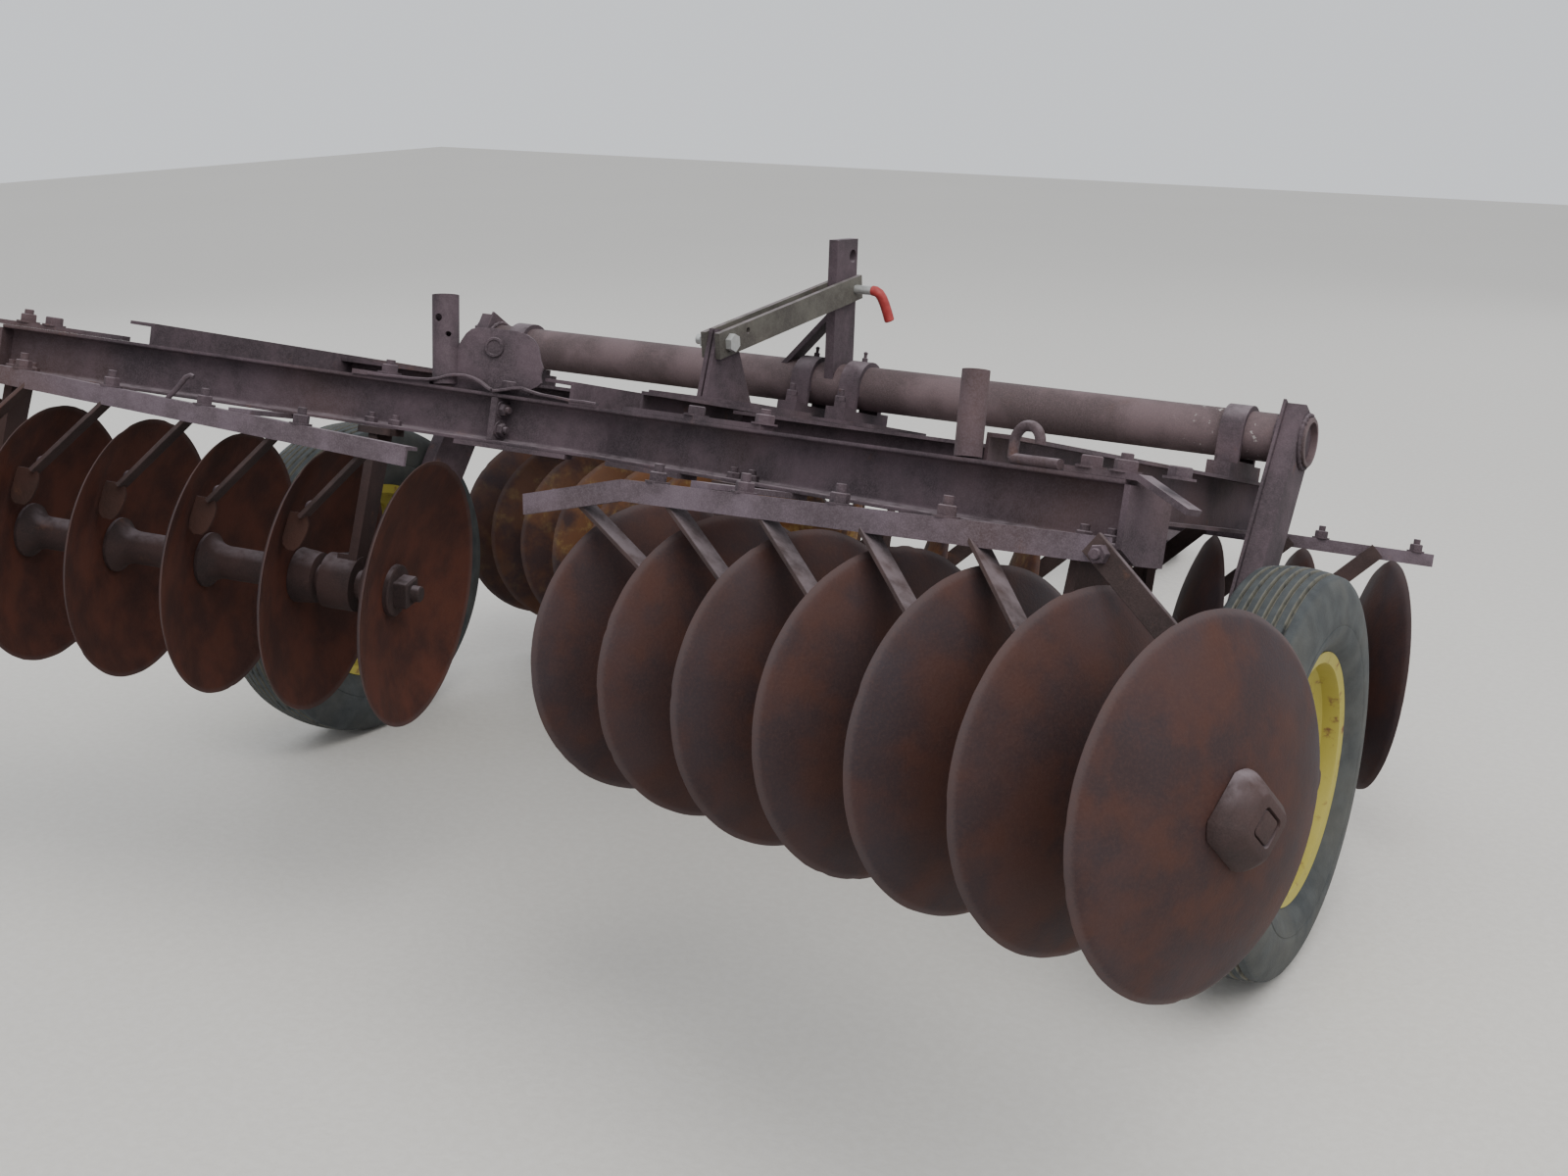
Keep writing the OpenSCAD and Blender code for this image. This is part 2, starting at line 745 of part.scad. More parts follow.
// The outermost front blade has lost its scraper
module scrapers_front() {
    stance() for (side = [-1, 1]) at_front(side) for (i = [0 : front_discs - 2])
        translate([i * disc_pitch, 0, 0]) mirror([1, 0, 0])
            scraper([-150, front_bar_y - fit, front_bar_z + 4], 1.1, 0);
}

// Fittings on top of the rear beams

module pipe(d, h, t) {
    difference() {
        cylinder(d = d, h = h);
        translate([0, 0, -1]) cylinder(d = d - 2 * t, h = h + 2);
    }
}

beam_top = rear_beam_local + beam_h;

module posts() {
    stance() {
        at_rear(1) translate([576, rear_beam_off + 20, beam_top + fit]) rotate([0, -4, 0])
            translate([0, 0, 1.4]) pipe(38, 116, 4);
        at_rear(-1) translate([16, rear_beam_off + 20, beam_top + fit]) rotate([0, 8, 0])
            translate([0, 0, 3.4]) difference() {
                pipe(46, 152, 5);
                for (z = [112, 84]) translate([z == 112 ? 4 : -12, -40, z])
                    rotate([-90, 0, 0]) cylinder(d = z == 112 ? 13 : 9, h = 40);
            }
    }
}

module rod_hook() {
    rod = 14;
    r = 22;
    stance() at_rear(1) translate([692, rear_beam_off + 4, beam_top + fit]) {
        translate([0, 0, rod / 2]) rotate([0, 90, 0]) cylinder(d = rod, h = 60);
        translate([0, 0, r + rod / 2]) rotate([90, 0, 0])
            rotate_extrude(angle = 200, $fn = 40) translate([r, 0]) circle(d = rod, $fn = 20);
        translate([-r, 0, rod / 2]) cylinder(d = rod, h = r);
        translate([-r, 0, rod / 2]) rotate([0, 90, 0]) cylinder(d = rod, h = r + 4);
    }
}

module hose_plate() {
    w = 150;
    h = 106;
    stance() at_rear(-1) translate([-90, rear_beam_off + 24, beam_top + fit]) rotate([90, 0, 0]) {
        linear_extrude(8) polygon(concat([[-w / 2 + 40, 0], [w / 2 - 34, 0], [w / 2, 26]],
            [for (a = [0 : 15 : 90]) [w / 2 - 34 + 34 * cos(a), h - 34 + 34 * sin(a)]],
            [for (a = [90 : 15 : 180]) [-w / 2 + 40 + 40 * cos(a), h - 40 + 40 * sin(a)]],
            [[-w / 2, 36]]));
        translate([-8, h * 0.62, 7]) difference() {
            cylinder(d = 44, h = 8);
            translate([-12, -8, 2]) cube([24, 7, 8]);
        }
    }
}

strap_t = 8;
strap_w = 26;

module top_straps() {
    z = beam_top + fit;
    stance() {
        at_rear(-1) translate([624, rear_beam_off + 14, z]) flat_bar(250, strap_w, strap_t);
        at_rear(-1) translate([40, rear_beam_off + 14, z]) rotate([0, 0, -3])
            flat_bar(140, strap_w, strap_t);
        at_rear(1) translate([-200, rear_beam_off + 14, z]) flat_bar(360, strap_w, strap_t);
        at_rear(1) translate([beam_end - 100, rear_beam_off + 14, z]) {
            rotate([90, 0, 0]) translate([0, 0, -strap_w / 2]) linear_extrude(strap_w)
                polygon([[0, 0], [116, 0], [116 + 86 * cos(22), -86 * sin(22)],
                    [116 + 86 * cos(22) + strap_t * sin(22), (strap_t - 86 * tan(22)) * cos(22)],
                    [116 + strap_t * tan(11), strap_t], [0, strap_t]]);
        }
    }
}

module lower_straps() {
    z = rear_beam_local - strap_t - fit;
    stance() {
        at_rear(1) translate([-220, rear_beam_off + 14, z]) flat_bar(200, 40, strap_t);
        at_rear(-1) translate([-220, rear_beam_off + 14, z]) flat_bar(200, 40, strap_t);
    }
}

module beam_end_plates() {
    stance() for (side = [-1, 1]) at_rear(side)
        translate([beam_end + fit, rear_beam_off, rear_beam_local - 18])
            rotate([90, 0, 90]) linear_extrude(10)
                polygon([[0, 18], [0, beam_h + 12], [84, beam_h + 12], [84, 0], [30, 0]]);
}

// Gangs

module discs_rear(side) {
    stance() at_rear(side) discs(rear_discs, 1);
}

module axle_rear(side) {
    stance() at_rear(side) gang_axle(rear_discs, rear_bearings, 1);
}

module discs_front(side) {
    stance() at_front(side) discs(front_discs, -1);
}

module axle_front(side) {
    stance() at_front(side) gang_axle(front_discs, front_bearings, -1);
}

// Wheels, each about its own axle line with +X outward

module at_wheel(side) {
    stance() on_side(side) translate([tyre_x, 0, 0]) rotate([0, 90, 0]) children();
}

tread_ribs = 5;
groove_w = 7;
groove_t = 9;

module tyre() {
    half = tyre_w / 2;
    tread = half - 20;
    rib = 2 * tread / tread_ribs;
    crown = 8;
    function over(x) = tyre_r - crown * (x / tread) * (x / tread);
    ribs = [for (i = [0 : tread_ribs - 1]) for (p = [0, 1])
        let (x = -tread + i * rib + (p == 0 ? (i == 0 ? 0 : groove_w / 2)
            : rib - (i == tread_ribs - 1 ? 0 : groove_w / 2))) [over(x), x]];
    grooves = [for (i = [0 : tread_ribs - 1]) for (p = [0 : 3])
        let (x = -tread + i * rib + (p == 0 ? (i == 0 ? 0 : groove_w / 2)
            : rib - groove_w / 2 + (p == 3 ? groove_w - 2 : p == 2 ? 1.5 : 0)))
        if (i < tread_ribs - 1 || p < 1) [p < 2 ? over(x) : over(x) - groove_t, x]];
    seat = rim_half - 2.8;
    casing = 11;
    rotate_extrude($fn = 96) polygon(concat(
        [[rim_r + 0.5, -seat], [rim_r + 15, -rim_half + 0.6], [rim_r + 24, -half + 12],
         [rim_r + 58, -half], [tyre_r - 56, -half + 2], [tyre_r - 26, -half + 10]],
        grooves, [[over(tread), tread]],
        [[tyre_r - 26, half - 10], [tyre_r - 56, half - 2], [rim_r + 58, half],
         [rim_r + 24, half - 12], [rim_r + 15, rim_half - 0.6], [rim_r + 0.5, seat],
         [rim_r + 0.5, seat - 14], [rim_r + 24, seat - 6], [rim_r + 58, half - casing],
         [tyre_r - 56, half - casing - 3], [tyre_r - 30, tread - 6], [tyre_r - 24, 0],
         [tyre_r - 30, -tread + 6], [tyre_r - 56, -half + casing + 3],
         [rim_r + 58, -half + casing], [rim_r + 24, -seat + 6], [rim_r + 0.5, -seat + 14]]));
}

rim_half = 56;

module rim() {
    wheel_disc = 6;
    difference() {
        rotate_extrude($fn = 96) polygon([
            [rim_r + 14, -rim_half - 4], [rim_r + 14, -rim_half], [rim_r, -rim_half + 2],
            [rim_r - 3, -rim_half + 30], [rim_r - 24, -rim_half + 42],
            [rim_r - 24, rim_half - 42], [rim_r - 3, rim_half - 30],
            [rim_r, rim_half - 2], [rim_r + 14, rim_half], [rim_r + 14, rim_half + 4],
            [rim_r - 5, rim_half + 1], [rim_r - 9, rim_half - 28], [rim_r - 30, rim_half - 40],
            [rim_r - 60, rim_half - 34], [110, 4], [84, 0], [hub_d / 2 + fit, 0],
            [hub_d / 2 + fit, -wheel_disc], [88, -wheel_disc], [114, -2], [rim_r - 62, rim_half - 42],
            [rim_r - 31, rim_half - 48], [rim_r - 30, -rim_half + 40], [rim_r - 9, -rim_half + 28],
            [rim_r - 5, -rim_half - 1]]);
    }
}

module hub() {
    difference() {
        rotate_extrude() polygon([[0, 78], [22, 78], [28, 72], [28, 40], [hub_d / 2 - 6, 34],
            [hub_d / 2, 26], [hub_d / 2, -6 - fit], [72, -6 - fit], [72, -18],
            [hub_d / 2, -20], [hub_d / 2 - 8, -70], [0, -70]]);
        translate([0, 0, -80]) cylinder(d = spindle_d + 2 * fit, h = 144);
    }
}

color(rust) beam_rear_right();
color(rust) beam_rear_left();
color(rust) beam_front(1);  // beam_front_right
color(rust) beam_front(-1);  // beam_front_left
color(rust) side_rail(1);  // side_rail_right
color(rust) side_rail(-1);  // side_rail_left
color(rust) centre_rails();
color(rust) cross_members();
color(rust) centre_plate();
color(rust) tongue_bar(1);  // tongue_right
color(rust) tongue_bar(-1);  // tongue_left
color(rust) tongue_brace();
color(steel) hitch();
color(rust) rock_shaft();
color(steel) bearing_caps();
color(rust) wheel_arm(1);  // wheel_arm_right
color(rust) wheel_arm(-1);  // wheel_arm_left
color(rust) lift_arm();
color(rust) lock_bracket();
color(olive) lock_bars();
color(zinc) lock_bolt();
color(red_grip) lock_pin();
color(steel) hangers_rear();
color(steel) hangers_front();
color(rust) scraper_bars_rear();
color(rust) scraper_bars_front();
color(rust) scrapers_rear();
color(rust) scrapers_front();
color(rust) posts();
color(steel) rod_hook();
color(rust) hose_plate();
color(rust) top_straps();
color(rust) lower_straps();
color(rust) beam_end_plates();
color(blade) discs_rear(1);  // discs_rear_right
color(steel) axle_rear(1);  // axle_rear_right
color(blade) discs_rear(-1);  // discs_rear_left
color(steel) axle_rear(-1);  // axle_rear_left
color(blade) discs_front(1);  // discs_front_right
color(steel) axle_front(1);  // axle_front_right
color(blade) discs_front(-1);  // discs_front_left
color(steel) axle_front(-1);  // axle_front_left
color(rubber) at_wheel(1) tyre();  // tyre_right
color(yellow) at_wheel(1) rim();  // rim_right
color(steel) at_wheel(1) hub();  // hub_right
color(rubber) at_wheel(-1) tyre();  // tyre_left
color(yellow) at_wheel(-1) rim();  // rim_left
color(steel) at_wheel(-1) hub();  // hub_left
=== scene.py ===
"""Looks of a rusty wheeled tandem disc harrow, parked on its tyres and its lowered hitch."""
import json
import math

import bpy
import numpy as np
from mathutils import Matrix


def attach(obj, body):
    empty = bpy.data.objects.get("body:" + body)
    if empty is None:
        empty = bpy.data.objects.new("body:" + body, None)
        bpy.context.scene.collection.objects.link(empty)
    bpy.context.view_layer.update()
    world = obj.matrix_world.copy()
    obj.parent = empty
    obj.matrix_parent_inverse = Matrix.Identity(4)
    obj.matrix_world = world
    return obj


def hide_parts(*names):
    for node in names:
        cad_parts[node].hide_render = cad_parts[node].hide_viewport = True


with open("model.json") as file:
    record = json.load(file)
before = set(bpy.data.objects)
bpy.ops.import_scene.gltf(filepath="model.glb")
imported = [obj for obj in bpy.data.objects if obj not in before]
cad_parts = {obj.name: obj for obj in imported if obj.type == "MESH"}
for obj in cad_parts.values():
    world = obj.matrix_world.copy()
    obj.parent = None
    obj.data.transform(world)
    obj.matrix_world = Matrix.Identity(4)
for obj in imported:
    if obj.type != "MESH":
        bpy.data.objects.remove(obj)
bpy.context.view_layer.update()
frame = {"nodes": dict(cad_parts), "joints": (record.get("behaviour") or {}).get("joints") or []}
nodes = frame["nodes"]
joints = {joint["name"]: joint for joint in frame["joints"]}


# Where the harrow stands
# Its own axes have their origin in the middle of the wheel axle, with the gang beams level.
# It is parked nose down, turned about the axle until the hitch rests on the ground.
TYRE_RADIUS = 0.350
HITCH_AHEAD, HITCH_UP = 2.400, 0.286
NOSE_DOWN = math.asin(TYRE_RADIUS / math.hypot(HITCH_AHEAD, HITCH_UP)) + math.atan2(HITCH_UP, HITCH_AHEAD)
AXLE = np.array(joints["wheel_right_spin"]["pos_m"], float) * (0, 1, 1)
ACROSS = np.array([1.0, 0, 0])
AHEAD = np.array([0, math.cos(NOSE_DOWN), -math.sin(NOSE_DOWN)])
UP = np.array([0, math.sin(NOSE_DOWN), math.cos(NOSE_DOWN)])


def standing(points):
    """Points of the harrow's own axes, in millimetres, as the parked harrow holds them, in metres."""
    points = np.asarray(points, float) / 1000
    return AXLE + points[..., :1] * ACROSS + points[..., 1:2] * AHEAD + points[..., 2:3] * UP


def mirrored(points, side):
    """The same points on the right for side 1, or in the mirror on the left for side -1."""
    return np.asarray(points, float) * (side, 1, 1)


# Camera, daylight and floor
# The photograph is taken from behind the right rear corner, standing, about level with the
# harrow's own tilted frame, on a pale slab under an even grey sky.
PHOTO_WIDE, FOCAL_PIXELS, SENSOR = 1600, 1855.8, 36
EYE_RIGHT, EYE_BEHIND_AXLE, EYE_UP = 1.840, 2.837, 1.562
LOOK_DOWN, LOOK_LEFT, ROLL = math.radians(17.46), math.radians(31.84), math.radians(-0.19)
camera_data = bpy.data.cameras.new("camera")
camera = bpy.data.objects.new("camera", camera_data)
bpy.context.scene.collection.objects.link(camera)
bpy.context.scene.camera = camera
camera_data.sensor_width = SENSOR
camera_data.lens = SENSOR * FOCAL_PIXELS / PHOTO_WIDE
camera_data.clip_start = 0.05
camera_data.clip_end = 60
camera.location = (EYE_RIGHT, AXLE[1] - EYE_BEHIND_AXLE, EYE_UP)
camera.rotation_mode = "XYZ"
camera.rotation_euler = (math.pi / 2 - LOOK_DOWN, ROLL, LOOK_LEFT)

world = bpy.data.worlds.new("grey sky")
bpy.context.scene.world = world
world.use_nodes = True
world.node_tree.nodes["Background"].inputs["Color"].default_value = (0.93, 0.96, 1.0, 1)
world.node_tree.nodes["Background"].inputs["Strength"].default_value = 0.95


def soft_light(name, place, aim, size, power, colour):
    """A square lamp at place, turned to face aim."""
    data = bpy.data.lights.new(name, "AREA")
    data.size = size
    data.energy = power
    data.color = colour
    lamp = bpy.data.objects.new(name, data)
    bpy.context.scene.collection.objects.link(lamp)
    away = np.array(place, float) - np.array(aim, float)
    lamp.location = place
    lamp.rotation_euler = (math.atan2(math.hypot(away[0], away[1]), away[2]), 0,
                           math.atan2(away[0], -away[1]))


soft_light("cloud light", (2.6, -2.4, 5.2), (0, -0.2, 0.4), 5.0, 260, (1.0, 0.98, 0.95))
soft_light("side light", (-5.5, 1.5, 3.6), (0, 0, 0.4), 4.0, 60, (0.92, 0.96, 1.0))
soft_light("front light", (1.5, 6.5, 3.4), (0, 0.3, 0.4), 4.0, 50, (0.95, 0.97, 1.0))


class Value:
    """A socket that does sums. Each operator adds one Math node to the finish that owns it."""

    def __init__(self, finish, socket):
        self.finish = finish
        self.socket = socket

    def sum(self, operation, *others):
        """One Math node over these values."""
        maths = self.finish.tree.nodes.new("ShaderNodeMath")
        maths.operation = operation
        for socket, item in zip(maths.inputs, others):
            self.finish.feed(socket, item)
        return Value(self.finish, maths.outputs[0])

    def __add__(self, other):
        return self.sum("ADD", self, other)

    def __radd__(self, other):
        return self.sum("ADD", other, self)

    def __sub__(self, other):
        return self.sum("SUBTRACT", self, other)

    def __rsub__(self, other):
        return self.sum("SUBTRACT", other, self)

    def __mul__(self, other):
        return self.sum("MULTIPLY", self, other)

    def __rmul__(self, other):
        return self.sum("MULTIPLY", other, self)

    def most(self, other):
        """The larger of the two."""
        return self.sum("MAXIMUM", self, other)

    def between(self, low, high):
        """0 below low, 1 above high and a smooth step from one to the other."""
        return self.finish.node("ShaderNodeMapRange", {"interpolation_type": "SMOOTHSTEP"},
                                {"Value": self, "From Min": low, "From Max": high})


class Finish:
    """A material built from nodes: node() adds one node and gives back its first output."""

    def __init__(self, name):
        self.material = bpy.data.materials.new(name)
        self.material.use_nodes = True
        self.tree = self.material.node_tree
        self.shader = self.tree.nodes["Principled BSDF"]

    def feed(self, socket, item):
        """Links a value to a socket, or sets the socket to a number or a colour."""
        if isinstance(item, Value):
            self.tree.links.new(item.socket, socket)
        elif socket.type == "RGBA" and len(item) == 3:
            socket.default_value = (*item, 1)
        else:
            socket.default_value = item

    def node(self, kind, settings=None, sockets=None, output=0):
        """Adds a node, sets it up, feeds its sockets and gives back one of its outputs."""
        made = self.tree.nodes.new(kind)
        for name, setting in (settings or {}).items():
            setattr(made, name, setting)
        for name, item in (sockets or {}).items():
            self.feed(made.inputs[name], item)
        return Value(self, made.outputs[output])

    def place(self):
        """Where a point lies on the piece, in metres."""
        return self.node("ShaderNodeTexCoord", output="Object")

    def cloud(self, scale, detail=3.0, rough=0.55):
        """Soft noise from 0 to 1, with scale lumps to the metre."""
        return self.node("ShaderNodeTexNoise", {}, {"Vector": self.place(), "Scale": scale,
                                                    "Detail": detail, "Roughness": rough})

    def blend(self, share, first, second):
        """Colour first where share is 0 and second where it is 1."""
        mix = self.tree.nodes.new("ShaderNodeMix")
        mix.data_type = "RGBA"
        self.feed(mix.inputs[0], share)
        self.feed(mix.inputs[6], first)
        self.feed(mix.inputs[7], second)
        return Value(self, mix.outputs[2])

    def own(self, name):
        """A number kept on the piece's own points."""
        return self.node("ShaderNodeAttribute", {"attribute_name": name}, output="Fac")

    def bump(self, height, depth, strength=1.0):
        """A normal that leans with the slope of height, where 1 stands depth metres high."""
        return self.node("ShaderNodeBump", {}, {"Height": height, "Distance": depth,
                                                "Strength": strength})

    def coat(self, colour, rough, metal=0.0, normal=None, gloss=0.5):
        """Feeds the shader and gives back the finished material."""
        self.feed(self.shader.inputs["Base Color"], colour)
        self.feed(self.shader.inputs["Roughness"], rough)
        self.feed(self.shader.inputs["Metallic"], metal)
        self.shader.inputs["Specular IOR Level"].default_value = gloss
        if normal is not None:
            self.feed(self.shader.inputs["Normal"], normal)
        return self.material


def dress(finish, *names):
    """Gives CAD nodes' meshes a finish in place of the plain one they come with."""
    for name in names:
        for slot in nodes[name].material_slots:
            slot.material = finish


FLOOR_HALF = 14
slab = Finish("pale floor")
slab_speckle = slab.cloud(60, 4)
slab_shade = slab.cloud(0.7, 2)
slab_colour = slab.blend(slab_speckle.between(0.35, 0.7) * 0.35 + slab_shade * 0.3,
                         (0.63, 0.605, 0.565), (0.71, 0.69, 0.655))
slab_finish = slab.coat(slab_colour, 0.92, normal=slab.bump(slab_speckle, 0.0015))
floor_mesh = bpy.data.meshes.new("floor")
floor_corners = [(x * FLOOR_HALF, y * FLOOR_HALF, 0) for x, y in ((-1, -1), (1, -1), (1, 1), (-1, 1))]
floor_mesh.from_pydata(floor_corners, [], [(0, 1, 2, 3)])
floor = bpy.data.objects.new("floor", floor_mesh)
floor_mesh.materials.append(slab_finish)
bpy.context.scene.collection.objects.link(floor)


# Rear gang beams
# Hot rolled channel, open to the rear, left and right at the rear gangs' angle. The right one
# is bent at the middle and butts against the left one off centre, over a bolted splice.
RUST_PURPLE = (0.078, 0.053, 0.064)
RUST_DARK = (0.035, 0.025, 0.030)
RUST_BROWN = (0.088, 0.048, 0.041)
RUST_ORANGE = (0.150, 0.066, 0.036)
# Pale grey for dust on upward faces, also used there as painted top light.
DUST_AND_TOP_LIGHT_GREY = (0.225, 0.187, 0.205)


def weathered(name, tint, dark, worn, orange_share=0.5):
    """Old paint rusted through: fine grain, darker blots, brown and orange patches, and pale grey on upward
    faces that is dust and painted top light.
    """
    skin = Finish(name)
    grain = skin.cloud(420, 2, 0.7)
    pits = skin.cloud(95, 3, 0.6)
    blots = skin.cloud(9, 4, 0.6)
    drift = skin.cloud(2.3, 3, 0.5)
    base = skin.blend(blots.between(0.38, 0.66), dark, tint)
    base = skin.blend(drift.between(0.5, 0.75) * 0.75, base, RUST_BROWN)
    orange = skin.cloud(17, 5, 0.65).between(0.62, 0.78) * orange_share
    base = skin.blend(orange, base, RUST_ORANGE)
    speckle = (grain - 0.5) * 1.6 + (pits - 0.5) * 0.9
    base = skin.blend((speckle + 0.42).between(0.0, 1.0) * 0.42, base, worn)
    # Upward faces turn pale grey in patches: settled dust, and also painted top light standing in for the
    # tops catching more light.
    normal = skin.node("ShaderNodeNewGeometry", output="Normal")
    upward = skin.node("ShaderNodeSeparateXYZ", {}, {"Vector": normal}, "Z")
    dust_and_top_light = upward.between(0.55, 0.98) * skin.cloud(30, 3, 0.6).between(0.2, 0.7) * 0.68
    base = skin.blend(dust_and_top_light, base, DUST_AND_TOP_LIGHT_GREY)
    height = grain * 0.35 + pits * 0.65
    return skin.coat(base, 0.70 + 0.22 * pits, normal=skin.bump(height, 0.0013, 0.9), gloss=0.35)


frame_finish = weathered("rusted frame paint", RUST_PURPLE, RUST_DARK, (0.150, 0.112, 0.128))
REAR_ANGLE, FRONT_ANGLE = math.radians(18.9), math.radians(27.0)
BEAM_HIGH, BEAM_WIDE, WALL, TOE, FILLET, HEEL = 85, 38, 6, 3, 7, 2


def built(name, surface, finish, body="frame", crease=32, values=None):
    """One piece from a (points, faces) pair: shaded smooth up to its creases, on its body.

    values holds numbers for each point, by the names that the finish reads them with."""
    points, faces = surface
    mesh = bpy.data.meshes.new(name)
    mesh.from_pydata(points.tolist(), [], faces)
    mesh.validate()
    mesh.shade_smooth()
    mesh.set_sharp_from_angle(angle=math.radians(crease))
    for label, numbers in (values or {}).items():
        mesh.attributes.new(label, "FLOAT", "POINT").data.foreach_set(
            "value", np.asarray(numbers, np.float32))
    mesh.materials.append(finish)
    piece = bpy.data.objects.new(name, mesh)
    bpy.context.scene.collection.objects.link(piece)
    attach(piece, body)
    return piece


def together(parts):
    """Several (points, faces) pairs as one pair."""
    faces = []
    count = 0
    for some_points, some_faces in parts:
        faces.extend([tuple(corner + count for corner in face) for face in some_faces])
        count += len(some_points)
    return np.concatenate([some_points for some_points, some_faces in parts]), faces


def flipped(part):
    """The same surface with its faces turned round."""
    points, faces = part
    return points, [face[::-1] for face in faces]


def skinned(rings, caps=True):
    """Rings of points joined by quads. rings is an array (rings, points round a ring, 3).

    Quad (i, j) joins points j and j + 1 of ring i to the same points of ring i + 1."""
    rings = np.asarray(rings, float)
    count, around = rings.shape[:2]
    i = np.arange(count - 1)[:, None] * around
    j = np.arange(around)[None, :]
    k = (j + 1) % around
    quads = np.stack([i + j, i + k, i + k + around, i + j + around], -1).reshape(-1, 4)
    faces = [tuple(quad) for quad in quads.tolist()]
    if caps:
        faces.append(tuple(range(around - 1, -1, -1)))
        faces.append(tuple((count - 1) * around + np.arange(around)))
    return rings.reshape(-1, 3), faces


def arc(centre, radius, start, end, steps=4):
    """Points on an arc in the plane, from the start angle to the end angle in degrees."""
    turn = np.radians(np.linspace(start, end, steps + 1))
    return [(centre[0] + radius * math.cos(a), centre[1] + radius * math.sin(a)) for a in turn]


def channel_outline(high, wide, wall):
    """A rolled channel's outline, (out along the flanges, up): rounded heels, toes and fillets."""
    outline = arc((HEEL, HEEL), HEEL, 270, 180, 3)
    outline += arc((HEEL, high - HEEL), HEEL, 180, 90, 3)
    outline += [(wide - 0.5, high)]
    outline += arc((wide - TOE, high - wall + TOE - 0.5), TOE, 0, -90, 3)
    outline += arc((wall + FILLET, high - wall - FILLET - 0.5), FILLET, 90, 180)
    outline += arc((wall + FILLET, wall + FILLET + 0.5), FILLET, 180, 270)
    outline += arc((wide - TOE, wall - TOE + 0.5), TOE, 90, 0, 3)
    outline += [(wide - 0.5, 0)]
    return np.array(outline)


def run(section, direction, start, end):
    """A straight prism whose corners run along direction between two planes.

    section holds the corners' points on any plane; a plane is (normal, distance from 0)."""
    rings = []
    for normal, distance in (start, end):
        along = (distance - section @ normal) / (direction @ normal)
        rings.append(section + along[:, None] * direction)
    return np.array(rings)


def gang_axes(angle, side):
    """Outward along a gang and ahead across it, for a gang angled back (or ahead) to its outer end."""
    outward = np.array([side * math.cos(angle), math.sin(angle), 0])
    ahead = np.array([-side * math.sin(angle), math.cos(angle), 0])
    return outward, ahead


# Each gang's innermost blade lies at START: out from the middle, ahead of the wheel axle and up
# from it. A beam's flanges end FACE ahead of its gang's own axle. UNDER and TOP are heights.
REAR_START, FRONT_START = (247, -696, 89), (110, 180, 142)
REAR_FACE, FRONT_FACE = 17, -21
REAR_UNDER, RAIL_TOP = 361, 484


def beam_section(start, angle, side, face, under, opens):
    """A gang beam's outline at its gang's first blade. opens is -1 where its flanges point back."""
    outward, ahead = gang_axes(angle, side)
    base = mirrored(start, side) * (1, 1, 0) + under * np.array([0, 0, 1])
    shape = channel_outline(BEAM_HIGH, BEAM_WIDE, WALL)
    web = face - opens * BEAM_WIDE
    return base + (web + opens * shape[:, :1]) * ahead + shape[:, 1:] * (0, 0, 1), outward


def cut_across(start, angle, side, along):
    """The plane square to a gang, at a distance from its innermost blade."""
    outward = gang_axes(angle, side)[0]
    return outward, mirrored(start, side) @ outward + along


BEAM_END, SPLICE, BUTT_GAP = 861, 180, 0.3
right_section, right_way = beam_section(REAR_START, -REAR_ANGLE, 1, REAR_FACE, REAR_UNDER, -1)
left_section, left_way = beam_section(REAR_START, -REAR_ANGLE, -1, REAR_FACE, REAR_UNDER, -1)
middle = ((1, 0, 0), 0)
bend = run(left_section, left_way, ((1, 0, 0), -SPLICE), middle)
straight = run(right_section, right_way, middle, cut_across(REAR_START, -REAR_ANGLE, 1, BEAM_END))
right_run = np.array([bend[0], straight[0], straight[1]])
right_beam = built("beam_rear_right_channel", skinned(standing(right_run)), frame_finish)
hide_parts("beam_rear_right")
left_run = run(left_section, left_way, ((1, 0, 0), -SPLICE - BUTT_GAP),
               cut_across(REAR_START, -REAR_ANGLE, -1, BEAM_END))
left_beam = built("beam_rear_left_channel", flipped(skinned(standing(left_run))), frame_finish)
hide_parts("beam_rear_left")


# Front gang beams and the rails between the beams
# The front beams open ahead. Two outer rails and two close set centre rails join front and rear
# beams, and short cross members tie the rails. All is welded channel.
FRONT_BEAM_END, FRONT_BUTT = 826, 0.2
for side, word in ((1, "right"), (-1, "left")):
    section, way = beam_section(FRONT_START, FRONT_ANGLE, side, FRONT_FACE, RAIL_TOP - BEAM_HIGH, 1)
    ends = run(section, way, ((side, 0, 0), FRONT_BUTT),
               cut_across(FRONT_START, FRONT_ANGLE, side, FRONT_BEAM_END))
    surface = skinned(standing(ends))
    if side > 0:
        surface = flipped(surface)
    front_beam = built("beam_front_" + word + "_channel", surface, frame_finish)
    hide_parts("beam_front_" + word)

dress(frame_finish, "side_rail_right", "side_rail_left", "centre_rails", "cross_members",
      "centre_plate", "top_straps", "lower_straps", "beam_end_plates", "tongue_brace",
      "tongue_right", "tongue_left", "hitch")


# Rock shaft and bearing caps
# A thick tube right across the frame, held down on the rails by strap caps with two bolts each.
# Some pale paint has been splashed on its right end.
SHAFT_AHEAD, SHAFT_UP, SHAFT_RADIUS, SHAFT_HALF, SHAFT_WALL = 221, 565, 44.5, 966, 8
NO_BAR_RUNS_SO = (0.31, 0.22, 0.92)


def square_to(axis):
    """The axis at length 1, with two directions square to it and to each other."""
    axis = axis / np.linalg.norm(axis)
    first = np.cross(axis, UP if abs(axis @ UP) < 0.9 else AHEAD)
    first /= np.linalg.norm(first)
    return axis, first, np.cross(axis, first)


def round_about(turns, first, second):
    """Directions round a circle: cos(turn) * first + sin(turn) * second."""
    turn = np.linspace(0, 2 * np.pi, turns, endpoint=False)[:, None]
    return np.cos(turn) * first + np.sin(turn) * second


